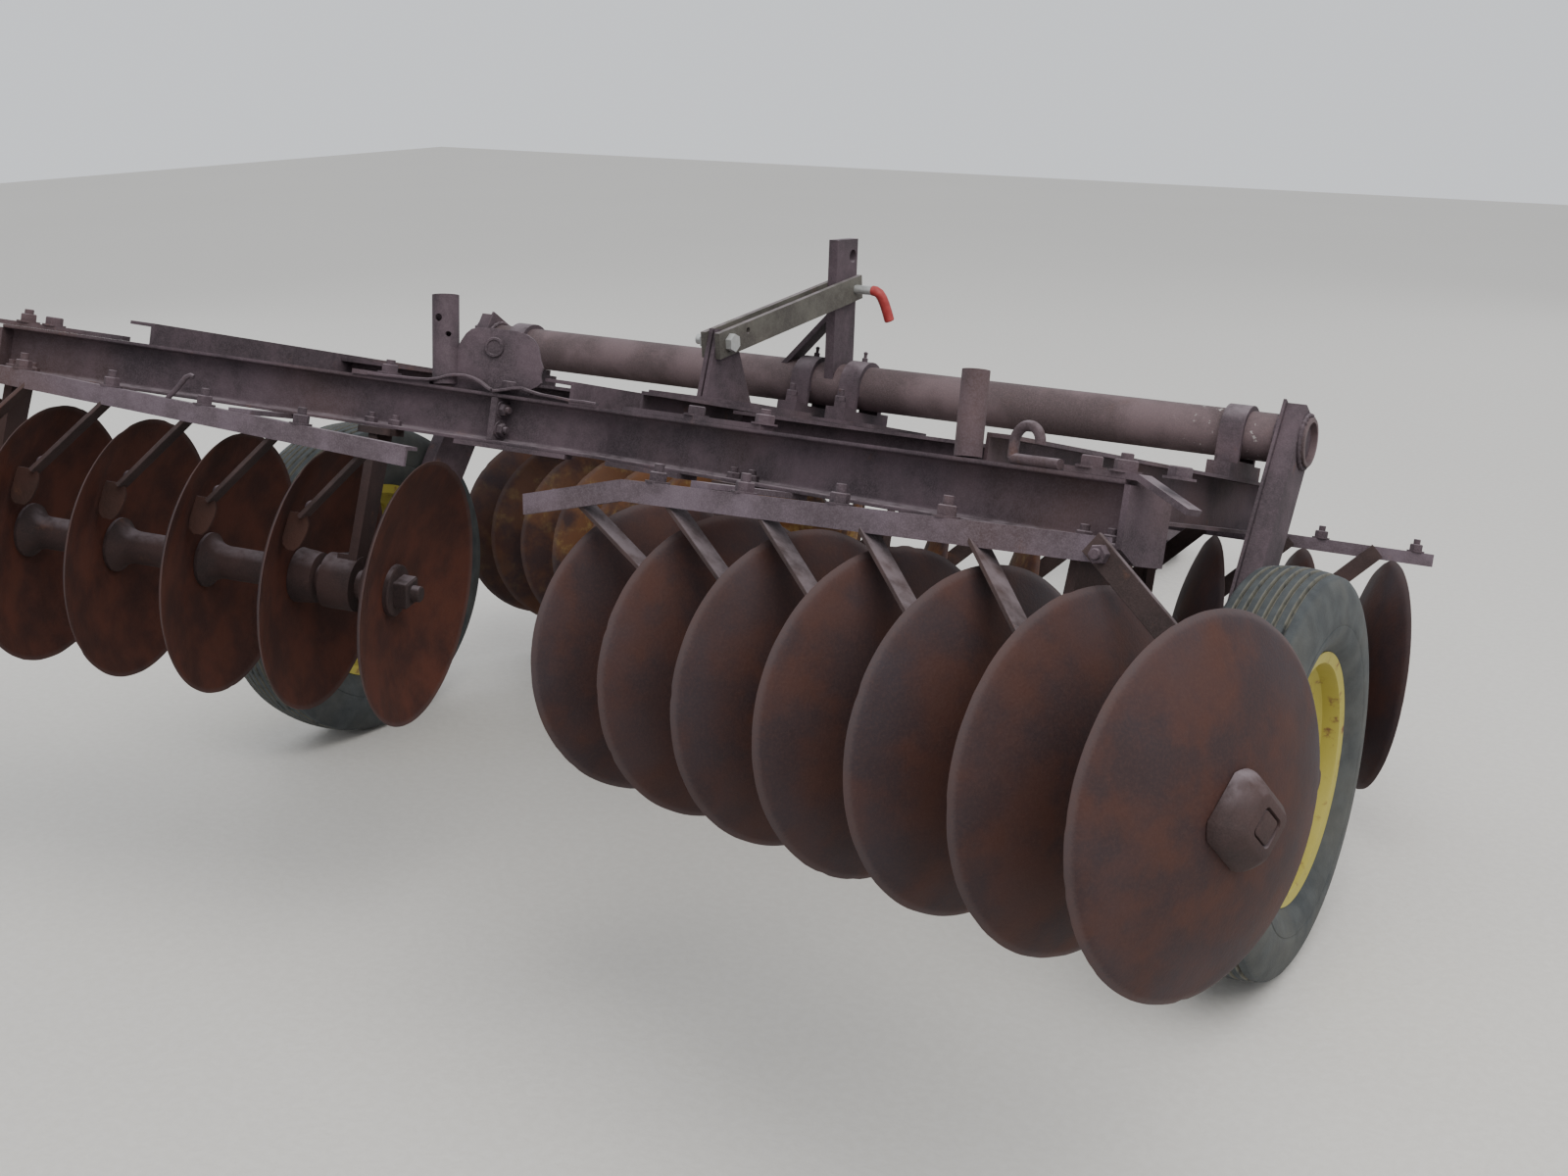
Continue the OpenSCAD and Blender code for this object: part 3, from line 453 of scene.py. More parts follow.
def revolved(profile, origin, axis, turns=120, wobble=None):
    """A profile of (along the axis, radius) pairs swept round an axis line.

    point = origin + along * axis + radius * (cos(turn) * first + sin(turn) * second)"""
    axis, first, second = square_to(axis)
    radius = profile[:, None, 1] * np.ones(turns)
    if wobble is not None:
        radius = radius + wobble
    around = round_about(turns, first, second)
    return origin + profile[:, None, :1] * axis + radius[..., None] * around


def looped(rings):
    """Rings of points joined by quads, with the last ring joined to the first."""
    points, faces = skinned(np.concatenate([rings, rings[:1]]), caps=False)
    kept = rings.shape[0] * rings.shape[1]
    return points[:kept], [tuple(corner % kept for corner in face) for face in faces]


def turned(profile, origin, axis, turns=48, loop=False):
    """A solid of revolution: the profile runs along the axis, or right round when loop is set."""
    rings = revolved(np.asarray(profile, float) / 1000, origin, axis, turns)
    return looped(rings) if loop else skinned(rings)


def rounded_square(half, corner):
    """A ring of points round a square with rounded corners, starting at its right side."""
    ring = []
    for quarter in range(4):
        turn = math.radians(90 * quarter)
        flat = arc((half - corner, half - corner), corner, 0, 90, 6)
        ring += [(x * math.cos(turn) - y * math.sin(turn), x * math.sin(turn) + y * math.cos(turn))
                 for x, y in flat]
    return np.array(ring)


def lofted(levels, origin, axis, spin=0.0):
    """Outlines at distances along an axis, in mm, joined into one solid and turned by spin degrees.

    point = origin + along * axis + x * right + y * up, for each point (x, y) of an outline"""
    axis, first, second = square_to(axis)
    turn = math.radians(spin)
    right = math.cos(turn) * first + math.sin(turn) * second
    up = math.cos(turn) * second - math.sin(turn) * first
    rings = [origin + (along * axis + ring[:, :1] * right + ring[:, 1:] * up) / 1000
             for along, ring in levels]
    return skinned(rings)


def round_ring(radius, count=28):
    """Points round a circle."""
    return radius * round_about(count, (1, 0), (0, 1))


def hexagon(across):
    """Six corners of a nut, for its size across the flats."""
    return round_ring(across / math.sqrt(3), 6)


def swept(path, radius, around=14):
    """A round bar along a path, with its ends closed, in metres.

    point = path + radius * (cos(turn) * base + sin(turn) * other), both square to the path"""
    radius = np.ones(len(path)) * radius
    ahead = np.gradient(path, axis=0)
    ahead /= np.linalg.norm(ahead, axis=1)[:, None]
    base = np.cross(ahead, NO_BAR_RUNS_SO)
    base /= np.linalg.norm(base, axis=1)[:, None]
    other = np.cross(ahead, base)
    square = round_about(around, base[:, None], other[:, None])
    return skinned(path[:, None] + radius[:, None, None] * square)


def bolt(place, axis, across=24, tall=12, shank=0, spin=0.0, washer=0):
    """A hexagon head or nut standing on place, with an optional washer and bolt end above it.

    The washer's radius is 0.78 of the size across the flats and the bolt's 0.31."""
    top = washer + tall
    parts = [lofted([(washer, hexagon(across)), (top - 1.5, hexagon(across)), (top, hexagon(across - 3))],
                    place, axis, spin)]
    if washer:
        rim = round_ring(across * 0.78, 24)
        parts.append(lofted([(0, rim), (washer, rim)], place, axis))
    if shank:
        radius = across * 0.31
        bar = round_ring(radius, 16)
        parts.append(lofted([(top, bar), (top + shank - 1, bar), (top + shank, round_ring(radius - 1, 16))],
                            place, axis))
    return together(parts)


splashes = Finish("splashed rock shaft")
along_shaft = splashes.node("ShaderNodeSeparateXYZ", {}, {"Vector": splashes.place()}, "X")
splash_band = (along_shaft.between(0.70, 0.82) - along_shaft.between(0.86, 0.90)).most(0)
splash_shape = splashes.cloud(38, 4, 0.7).between(0.60, 0.64)
shaft_blots = splashes.cloud(9, 4, 0.6).between(0.38, 0.66)
shaft_grain = splashes.cloud(420, 2, 0.7)
shaft_colour = splashes.blend(shaft_blots, (0.058, 0.039, 0.041), (0.120, 0.082, 0.088))
shaft_colour = splashes.blend(splashes.cloud(17, 5).between(0.6, 0.8) * 0.5, shaft_colour, RUST_BROWN)
shaft_colour = splashes.blend(shaft_grain.between(0.3, 0.9) * 0.5, shaft_colour, (0.210, 0.145, 0.150))
shaft_colour = splashes.blend(splash_band * splash_shape * 0.8, shaft_colour, (0.46, 0.44, 0.42))
shaft_finish = splashes.coat(shaft_colour, 0.70 + 0.2 * shaft_grain,
                             normal=splashes.bump(shaft_grain, 0.0008, 0.7))
bore = SHAFT_RADIUS - SHAFT_WALL
tube = [(-SHAFT_HALF, bore), (-SHAFT_HALF, SHAFT_RADIUS - 1), (-SHAFT_HALF + 1, SHAFT_RADIUS),
        (SHAFT_HALF - 1, SHAFT_RADIUS), (SHAFT_HALF, SHAFT_RADIUS - 1), (SHAFT_HALF, bore)]
tube_surface = turned(tube, standing([0, SHAFT_AHEAD, SHAFT_UP]), ACROSS, 72, True)
shaft = built("rock_shaft_tube", tube_surface, shaft_finish)
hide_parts("rock_shaft")
dress(frame_finish, "bearing_caps", "lift_arm")


# Wheel arms
# A channel with its web outboard, closed by a wider flat plate inboard. The tube passes through
# both and is welded round; the wheel's spindle comes out of a boss at the bottom.
ARM_OUT, ARM_DEEP, ARM_FLANGE, ARM_WALL, ARM_PAST = 955, 98, 35.5, 7, 50
PLATE_REAR, PLATE_AHEAD, PLATE_THICK, PLATE_PAST = -57, 50, 5.5, 53
SPINDLE_END, BEAD_TURNS, BEAD_SIDES = 1110, 72, 8
LEAN = math.atan2(SHAFT_AHEAD, SHAFT_UP)
ARM_LONG = math.hypot(SHAFT_AHEAD, SHAFT_UP)


def arm_place(side, outline, along):
    """Points by an arm from an outline (out from the middle, ahead across the arm).

    along goes up the arm from the spindle, and the arm leans ahead by LEAN."""
    out, ahead = np.asarray(outline, float).T
    return np.stack([side * out, along * math.sin(LEAN) + ahead * math.cos(LEAN),
                     along * math.cos(LEAN) - ahead * math.sin(LEAN)], -1)


def bead(centre, axis, radius, thick, seed):
    """A lumpy weld bead round a circle, in metres: a small ring swept round a large one.

    point = centre + (radius + size * cos(slope)) * away + size * sin(slope) * axis"""
    draw = np.random.default_rng(seed)
    turn = np.linspace(0, 2 * np.pi, BEAD_TURNS, endpoint=False)
    size = thick * (1 + 0.22 * np.sin(24 * turn) + draw.uniform(-0.12, 0.12, BEAD_TURNS))[:, None]
    slope = np.linspace(0, 2 * np.pi, BEAD_SIDES, endpoint=False)[:, None, None]
    axis, first, second = square_to(axis)
    away = round_about(BEAD_TURNS, first, second)
    return looped(centre + (radius + size * np.cos(slope)) * away + size * np.sin(slope) * axis)


inner = ARM_OUT - ARM_FLANGE
arm_outline = (ARM_OUT, -ARM_DEEP / 2) + channel_outline(ARM_DEEP, ARM_FLANGE, ARM_WALL) * (-1, 1)
plate_outline = [(inner, PLATE_REAR), (inner, PLATE_AHEAD), (inner - PLATE_THICK, PLATE_AHEAD),
                 (inner - PLATE_THICK, PLATE_REAR)]
spindle = [(inner - 8, 0.1), (inner - 8, 33), (ARM_OUT + 6, 33), (ARM_OUT + 8, 31), (ARM_OUT + 8, 20),
           (SPINDLE_END - 2, 19), (SPINDLE_END, 17), (SPINDLE_END, 0.1)]
for side, word in ((1, "right"), (-1, "left")):
    pieces = []
    for outline, top in ((arm_outline, ARM_LONG + ARM_PAST), (plate_outline, ARM_LONG + PLATE_PAST)):
        surface = skinned(standing([arm_place(side, outline, along) for along in (-ARM_PAST, top)]))
        pieces.append(flipped(surface) if side < 0 else surface)
    pieces.append(turned(spindle, standing([0, 0, 0]), side * ACROSS, 40))
    for out, seed in ((ARM_OUT + 2, 3), (inner - 7, 4)):
        pieces.append(bead(standing([side * out, SHAFT_AHEAD, SHAFT_UP]), ACROSS, 0.0475, 0.0045, seed))
    pieces.append(bead(standing([side * (ARM_OUT + 1), 0, 0]), ACROSS, 0.036, 0.004, 5))
    arm = built("wheel_arm_" + word + "_channel", together(pieces), frame_finish)
    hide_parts("wheel_arm_" + word)


# Posts and rod hook
# Two upright pipes on the rear beam and a round bar bent into an open loop.
dress(frame_finish, "posts", "rod_hook")


# Lift arm lock
# Two flat bars in a later grey olive paint, a bolt at the bracket and a bent pin with a red grip.
olive_finish = weathered("grey olive paint", (0.105, 0.098, 0.082), (0.055, 0.048, 0.042),
                         (0.17, 0.16, 0.14), 0.25)
dress(frame_finish, "lock_bracket")
dress(olive_finish, "lock_bars")
plated = Finish("dull zinc plate")
plated_mottle = plated.cloud(160, 3)
plated_colour = plated.blend(plated_mottle, (0.42, 0.42, 0.40), (0.60, 0.61, 0.60))
zinc_finish = plated.coat(plated_colour, 0.38 + 0.2 * plated_mottle, 0.7)
dress(zinc_finish, "lock_bolt")
# The rod starts from the left end of the CAD pin.
PIN_LONG = 94
pin_points = np.array([corner.co[:] for corner in nodes["lock_pin"].data.vertices])
pin_low = pin_points[pin_points[:, 0] < pin_points[:, 0].min() + 0.002]
pin_start = (pin_low.max(axis=0) + pin_low.min(axis=0)) / 2
pin_bend = pin_start + (PIN_LONG / 1000, 0, 0)
steel_pin = [(-PIN_LONG, 0, 0), (1 - PIN_LONG, 0, 0), (-8, 0, 0), (4, 0, 0)]
pin_thick = np.array([0.0075, 0.0092, 0.0092, 0.0092])
pin = built("lock_pin_rod", swept(pin_bend + np.array(steel_pin) / 1000, pin_thick, 20), zinc_finish)
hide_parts("lock_pin")
grip_way = [(-2, 0, 0), (0, 0, 0), (7, 0, -0.5), (14, 2, -5), (19, 5, -14), (23, 9, -27), (27, 12, -42),
            (31, 15, -59), (31.6, 15.4, -61)]
grip_thick = np.array([0.0090] + 7 * [0.0104] + [0.0088])
grip_skin = Finish("faded red grip")
grip_patch = grip_skin.cloud(60, 4)
grip_red = grip_skin.blend(grip_patch.between(0.3, 0.7), (0.27, 0.018, 0.018), (0.40, 0.050, 0.045))
grip_finish = grip_skin.coat(grip_red, 0.45 + 0.2 * grip_patch)
built("lock_pin_grip", swept(pin_bend + np.array(grip_way) / 1000, grip_thick, 20), grip_finish)


# Bearing standards
# Cast housings under forged webs, each bolted to its beam by a foot.
cast_finish = weathered("rusty casting", (0.048, 0.026, 0.024), (0.026, 0.017, 0.017),
                        (0.076, 0.047, 0.045), 0.5)
dress(cast_finish, "hangers_rear", "hangers_front")


# Scrapers
# An angle iron bar behind each gang. Rear arms of flat bar lie under its level leg, wide side fore
# and aft, and bend down to a leaf by each blade; the outermost is bolted to its upright leg.
# The bars wear a lighter copy of the frame's rusted paint: painted light, standing in for the bars catching
# more light than the shaded channel webs.
lit_bar_finish = weathered("bar paint with painted light", (0.118, 0.088, 0.108), (0.062, 0.044, 0.052),
                       (0.200, 0.160, 0.182), 0.4)
dress(lit_bar_finish, "scraper_bars_rear", "scraper_bars_front")
scraper_finish = weathered("rusted scraper iron", (0.056, 0.034, 0.032), (0.030, 0.019, 0.018),
                           (0.082, 0.054, 0.053), 0.6)
dress(scraper_finish, "scrapers_front")
leaf_finish = weathered("rust red leaf", (0.054, 0.022, 0.016), (0.034, 0.017, 0.013),
                        (0.064, 0.033, 0.027), 0.7)
BLADE_RADIUS, BLADE_THICK, DISH, SEAT, PITCH, GANG_BLADES = 230, 5, 52, 52, 175.5, 7
BALL = (BLADE_RADIUS ** 2 + DISH ** 2) / (2 * DISH)
ARM_WIDE, ARM_THICK, TIP_GAP, LEAF_GAP, LEAF_THICK = 32, 7, 6, 7, 5
TIP_UP, FIRST_DROOP, OUTER_SLOPE = 112, 20.357, 0.78
RAIL_FIRST, RAIL_STEP = np.array([-11.0, -190.0, 237.0]), np.array([175.5, 32.0, 6.5])
RAIL_TURN = math.atan2(RAIL_STEP[1], RAIL_STEP[0])
BEAM_TOP = REAR_UNDER + BEAM_HIGH - REAR_START[2]


def facing(way):
    """A direction of the harrow's own axes, as the parked harrow holds it."""
    return way[0] * ACROSS + way[1] * AHEAD + way[2] * UP


def by_gang(start, angle, side, place):
    """Points (outward, ahead, up) from a gang's innermost blade, in the harrow's own axes."""
    axes = np.array([*gang_axes(angle, side), (0, 0, 1)])
    return mirrored(start, side) + np.asarray(place, float) @ axes


def by_rear(side, place):
    """Points by a rear gang, as the parked harrow holds them."""
    return standing(by_gang(REAR_START, -REAR_ANGLE, side, place))


def by_front(side, place):
    """Points by a front gang, as the parked harrow holds them."""
    return standing(by_gang(FRONT_START, FRONT_ANGLE, side, place))


def dome(place, axis, radius):
    """The round head of a carriage bolt."""
    profile = [(0, radius), (2, radius), (4.5, radius * 0.86), (6.6, radius * 0.6), (7.8, radius * 0.3),
               (8, 0.1)]
    return turned(profile, place, axis, 24)


def hollow_at(radius):
    """How far the dish stands out of the rim's plane at a radius: a ball's cap, flat at the seat."""
    radius = np.maximum(radius, SEAT)
    return np.sqrt(BALL ** 2 - radius ** 2) - (BALL - DISH)


def upright(outline, ahead):
    """Points (outward, ahead, up) of an outline (outward, up) that stands at one distance ahead."""
    return np.insert(outline, 1, ahead, axis=1)


def flat_bar(way, across):
    """Rings of a flat bar with broken corners along a way, with across over its wide side.

    ring = way + edge[0] * across + edge[1] * face, both square to the way"""
    way = np.asarray(way, float)
    along = np.gradient(way, axis=0)
    along /= np.linalg.norm(along, axis=1)[:, None]
    across = across - (along @ across)[:, None] * along
    across /= np.linalg.norm(across, axis=1)[:, None]
    face = np.cross(along, across)
    edge = np.array([(-0.5, -0.38), (-0.475, -0.5), (0.475, -0.5), (0.5, -0.38), (0.5, 0.38), (0.475, 0.5),
                     (-0.475, 0.5), (-0.5, 0.38)]) * (ARM_WIDE, ARM_THICK)
    return way[:, None] + edge[None, :, :1] * across[:, None] + edge[None, :, 1:] * face[:, None]


def leaf(number, low):
    """Rings of the plate at an arm's end. Its outer edge follows the next blade's hollow face."""
    x, y, z = low
    levels = z + np.array([4, -3, -13, -26, -40, -52, -60])
    outer = hollow_at(np.hypot(y, levels)) - LEAF_GAP + (number + 1) * PITCH
    outer[-2:] -= (3, 12)
    inner = np.minimum(x + np.array([-3, -8, -11, -10, -5, 1, 10]), outer - 8)
    outline = np.stack([np.append(outer, inner[::-1]), np.append(levels, levels[::-1])], -1)
    return [upright(outline, y + shift) for shift in (-LEAF_THICK / 2, LEAF_THICK / 2)]


def under_arm(number, side):
    """The way, wide side and bolt head of an arm that lies under the bar's level leg.

    It follows the bar to its bend and then runs straight to its tip, short of the next blade. The
    first one on the right droops."""
    held = RAIL_FIRST + (number + (-0.08 if side > 0 else 0.33)) * RAIL_STEP + (0, 22.5, 6.4)
    if side > 0 and number == 0:
        held[2] -= FIRST_DROOP
    tip = np.array([(number + 1) * PITCH - TIP_GAP, 0.35 * held[1] - 67.1, TIP_UP])
    along = (tip - held) / np.linalg.norm(tip - held)
    upper = np.array([-along[2], 0, along[0]]) / math.hypot(along[0], along[2])
    normal = facing(upper[0] * gang_axes(-REAR_ANGLE, side)[0] + (0, 0, upper[2]))
    head = dome(by_rear(side, tip - 22 * along + ARM_THICK / 2 * upper), normal, 10)
    return [held - 0.2 * RAIL_STEP, held - 0.03 * RAIL_STEP, held + 5 * along, tip], (0, 1, 0), [head]


def outer_arm(number, side):
    """The way, wide side and bolt heads of the arm on the rear face of the bar's upright leg."""
    start = RAIL_FIRST + number * RAIL_STEP + (0, -0.3, 8)
    reach_out = (number + 1) * PITCH - TIP_GAP - start[0]
    along = reach_out * np.array([1, math.tan(RAIL_TURN), -OUTER_SLOPE])
    rearward = ARM_THICK * np.array([math.sin(RAIL_TURN), -math.cos(RAIL_TURN), 0])
    outward, ahead = gang_axes(-REAR_ANGLE, side)
    normal = facing(outward * math.sin(RAIL_TURN) - ahead * math.cos(RAIL_TURN))
    heads = [bolt(by_rear(side, start + 0.09 * along + rearward), normal, 22, 11, 6, 10),
             dome(by_rear(side, start + 0.90 * along + rearward), normal, 12)]
    return [start + rearward / 2, start + along + rearward / 2], np.cross(along, rearward), heads


bolts = []
arms = []
leaves = []
for side, places in ((1, (0.88, 1.81, 2.75, 3.72)), (-1, (1.13, 2.25, 3.38, 4.5))):
    for number, place in enumerate(places):
        head = by_rear(side, RAIL_FIRST + place * RAIL_STEP + (0, 17, 16))
        bolts.append(bolt(head, UP, 24, 14, 12, 17 * number, 3))
    for number in range(6):
        way, across, heads = outer_arm(number, side) if number == 5 else under_arm(number, side)
        bolts += heads
        for rings, kept in ((flat_bar(way, across), arms), (leaf(number, way[-1]), leaves)):
            surface = skinned(by_rear(side, rings))
            kept.append(flipped(surface) if side < 0 else surface)
    for out in (582, 917, 1106):
        bolts.append(bolt(by_front(side, (out, 52, 252.5)), UP, 22, 13, 10, out, 3))

# A bent rod on the left bar, the splice plate, and the bolts of straps, splice, feet and caps.
latch = [RAIL_FIRST + 2.62 * RAIL_STEP + (x, 12, z) for x, z in
         ((14, 8), (6, 18), (-10, 38), (-22, 56), (-30, 60), (-36, 58))]
bolts.append(swept(by_rear(-1, latch), 0.0045))
for side, places in ((-1, ((770, 33), (822, 33), (-98, 40), (120, 33))),
                     (1, ((-20, 33), (150, 33), (792, 33), (846, 33), (928, 33)))):
    for number, place in enumerate(places):
        bolts.append(bolt(by_rear(side, (*place, BEAM_TOP + 8)), UP, 26, 13, 8 if number % 2 else 0,
                          23 * number, 3))
splice = [[(out, near, 367.5), (out, near + 34, 367.5), (out, near + 34, 439.5), (out, near, 439.5)]
          for out, near in ((-181, -655), (-171, -651))]
bolts.append(skinned(standing(splice)))
for height in (386, 420):
    bolts.append(bolt(standing((-170.9, -636, height)), ACROSS, 19, 9, 7, height, 2))
for side in (-1, 1):
    for bearing in (0, 4):
        for away in (-22, 22):
            spot = (bearing * PITCH + 119.7 + away, 30, REAR_UNDER + WALL - REAR_START[2])
            bolts.append(bolt(by_rear(side, spot), UP, 20, 10, 8, away + 15))
for out in (-72, 42):
    for ahead_of in (-78, 78):
        bolts.append(bolt(standing((out, SHAFT_AHEAD + ahead_of, 531)), UP, 20, 10, 14, out))
    bolts.append(turned([(0, 6), (8, 6), (9, 3.4), (16, 3.4), (17, 4.5), (20, 4), (22, 0.1)],
                        standing((out, SHAFT_AHEAD, 617.5)), UP, 12))
built("frame_bolts", together(bolts), frame_finish, crease=36)
arm_irons = built("scrapers_rear_arms", together(arms), scraper_finish)
built("scrapers_rear_leaves", together(leaves), leaf_finish)
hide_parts("scrapers_rear")


# Hose plate and bent straps
# A rounded, flame cut steel plate stands on end on the left beam, with the end of a stud in it.
# Two thin straps, bent wavy by years of use, lie along the beams' top edges beside it.
plate_foot = (-70, BEAM_TOP)
plate_way = np.array([(2, 357), (4, 383), (7, 407), (4, 424), (-2, 438), (-9, 451), (-18, 460), (-30, 464),
                      (-60, 466), (-101, 466), (-117, 463), (-131, 456), (-139, 447), (-143, 437),
                      (-147, 424), (-154, 410), (-151, 397), (-155, 385), (-149, 378), (-136, 371),
                      (-131, 357)])
plate_rings = [upright(plate_foot + (plate_way - plate_foot) * inset, ahead)
               for ahead, inset in ((33, 0.985), (34, 1.0), (40, 1.0), (41, 0.985))]
stud_rings = [upright((-64, 434) + round_ring(radius, 32)[:, ::-1], ahead)
              for ahead, radius in ((34, 17), (29, 17), (28, 16), (28, 12.5), (30, 12), (30, 0.5))]
hose_parts = [skinned(by_rear(-1, rings)) for rings in (plate_rings, stud_rings)]
hose = built("hose_plate_cut", together(hose_parts), frame_finish)
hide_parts("hose_plate")
strap_outline = np.array([(27, 0), (28, 1), (28, 4), (27, 5), (11, 5), (10, 4), (10, 1), (11, 0)])
for word, way in (("outer", ((150, 1), (128, 1), (98, 2), (68, 3), (40, 5), (22, 9), (8, 15), (-8, 19),
                             (-26, 20), (-42, 17), (-56, 11), (-66, 5), (-74, 2))),
                  ("inner", ((-78, 1), (-88, 3), (-100, 6), (-114, 10), (-128, 12), (-142, 9), (-160, 6),
                             (-187, 5), (-215, 3), (-240, 4), (-262, 3)))):
    rings = [np.insert(strap_outline + (0, BEAM_TOP + high), 0, out, axis=1) for out, high in way]
    built("bent_strap_" + word, skinned(by_rear(-1, rings)), frame_finish, crease=36)


# Blades
# Dished spring steel with a flat seat and a ground rim. The bulging side is brown with a blue
# grey polish towards the rim and the hollow side redder; ochre stains the inner front blades.
steel = Finish("rusty blade steel")
reach = steel.own("reach")
hollow_side = steel.own("hollow")
blotch = steel.cloud(11, 4, 0.6)
fine = steel.cloud(240, 3, 0.7)
wide_blotch = steel.cloud(3.7, 3, 0.5)
brown = steel.blend(blotch.between(0.36, 0.64), (0.034, 0.020, 0.021), (0.060, 0.025, 0.019))
brown = steel.blend(wide_blotch.between(0.45, 0.7) * 0.55, brown, (0.050, 0.025, 0.022))
polish = reach.between(0.45, 0.97) * steel.cloud(8, 3).between(0.30, 0.72) * 0.60
brown = steel.blend(polish, brown, (0.036, 0.030, 0.037))
red = steel.blend(blotch.between(0.34, 0.66), (0.041, 0.016, 0.013), (0.084, 0.027, 0.017))
faces_colour = steel.blend(hollow_side, brown, red)
ochre = steel.own("ochre") * steel.cloud(9, 4, 0.65).between(0.36, 0.56)
ochre_colour = steel.blend(steel.cloud(26, 4, 0.7).between(0.50, 0.68), (0.190, 0.078, 0.026),
                           (0.300, 0.190, 0.060))
faces_colour = steel.blend(ochre, faces_colour, ochre_colour)
edge = (reach + (fine - 0.5) * 0.02).between(0.955, 0.985)
faces_colour = steel.blend(edge * 0.4, faces_colour, (0.090, 0.068, 0.068))
faces_colour = steel.blend((fine - 0.34).between(0.0, 0.5) * 0.30, faces_colour, (0.094, 0.052, 0.044))
blade_finish = steel.coat(faces_colour, 0.60 + 0.25 * fine - 0.10 * polish, 0.0,
                          steel.bump(fine * 0.5 + steel.cloud(60, 3) * 0.5, 0.0009, 0.9), 0.22)

BORE, BLADE_TURNS, WEAR_FROM = 14.3, 120, 205
rim_radii = np.array([0, 16, 36, 51, 53, 66, 80, 100, 120, 140, 160, 178, 194, 206, 214, 219.5])
front_side = [(hollow_at(r), r) for r in rim_radii] + [(hollow_at(226.5), 226.5), (0.3, 229.4)]
back_side = [(hollow_at(r) + BLADE_THICK, r) for r in rim_radii]
blade_profile = np.array(back_side[1:] + [(2.6, 228.6), (1.4, 229.8)] + front_side[:0:-1])
blade_profile[:, 1] = np.maximum(blade_profile[:, 1], BORE)
on_hollow = np.arange(len(blade_profile)) > len(back_side)


def gang_place(gang):
    """A gang's side, its way outward and the middle of its innermost blade, from its joint."""
    joint = joints[gang + "_spin"]
    side = 1 if joint["pos_m"][0] > 0 else -1
    return side, np.array(joint["axis"], float) * side, np.array(joint["pos_m"], float)


def blades(name, gang, bulge):
    """All blades of one gang as one piece, each rim a little worn and nicked.

    wobble = -(sum of sines + nicks) * share, where share grows from WEAR_FROM to the edge as a
    square. bulge is 1 where the blades bulge outward and -1 where they bulge inward."""
    side, outward, start = gang_place(gang)
    draw = np.random.default_rng(sum(map(ord, name)))
    turn = np.linspace(0, 2 * np.pi, BLADE_TURNS, endpoint=False)
    share = np.clip((blade_profile[:, 1:] - WEAR_FROM) / (BLADE_RADIUS - WEAR_FROM), 0, 1) ** 2
    profile = blade_profile * (bulge, 1) / 1000
    fade = 0.13 if side < 0 else 0.26
    parts = []
    ochres = []
    for number in range(GANG_BLADES):
        worn = sum(draw.uniform(0.1, 0.35) * np.sin(wave * turn + draw.uniform(0, 6.28))
                   for wave in (2, 3, 5, 9, 14, 23))
        nicks = np.where(draw.random(BLADE_TURNS) > 0.965, draw.uniform(0.6, 1.8, BLADE_TURNS), 0)
        wobble = -(np.abs(worn) + nicks) * share
        middle = start + outward * number * PITCH / 1000
        surface = looped(revolved(profile, middle, outward, BLADE_TURNS, wobble / 1000))
        parts.append(flipped(surface) if bulge > 0 else surface)
        ochres.append(np.full(wobble.size, max(0.0, 0.95 - fade * number) if bulge < 0 else 0.0))
    reach_values = np.repeat(blade_profile[:, 1] / BLADE_RADIUS, BLADE_TURNS)
    piece = built(name + "_blades", together(parts), blade_finish, gang, 40,
                  {"reach": np.tile(reach_values, GANG_BLADES),
                   "hollow": np.tile(np.repeat(on_hollow, BLADE_TURNS), GANG_BLADES),
                   "ochre": np.concatenate(ochres)})
    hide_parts(name)


for word in ("right", "left"):
    blades("discs_rear_" + word, "gang_rear_" + word, 1)
    blades("discs_front_" + word, "gang_front_" + word, -1)


# Gang axles
# A square bolt through all blades, flared cast spools between them, turned journals at the
# bearings, a nut at the hollow end and a cast bumper with a square socket at the bulging end.
SPOOL_END, SPOOL_WAIST, SPOOL_GAP, JOURNAL, BEARING_WIDE = 48, 29, 0.15, 25, 84


def bumper(place, axis, side):
    """A round flange that rises in a dome to a rounded square face, with a square socket in it."""
    square = rounded_square(1.0, 0.34)
    circle = square / np.linalg.norm(square, axis=1)[:, None]

    def between(share, size):
        """An outline that lies share of the way from a circle to the square."""
        return size * ((1 - share) * circle + share * square * 0.96)

    levels = [(0, between(0, 57.5)), (1, between(0, 58.5)), (8, between(0, 58)), (14, between(0, 56)),
              (20, between(0.05, 52)), (26, between(0.2, 46)), (31, between(0.5, 39)),
              (35, between(0.85, 33)), (37.5, between(1, 29.5)), (38, between(1, 19.5)),
              (32, between(1, 18.5)), (32, between(1, 17)), (36.5, between(1, 16)),
              (37.5, between(1, 14))]
    return lofted(levels, place, axis, 57 * side)


def collar(low, high, radius):
    """Outlines of a disc whose far edge is broken by 2."""
    return [(low, round_ring(radius)), (high - 2, round_ring(radius)), (high, round_ring(radius - 2))]


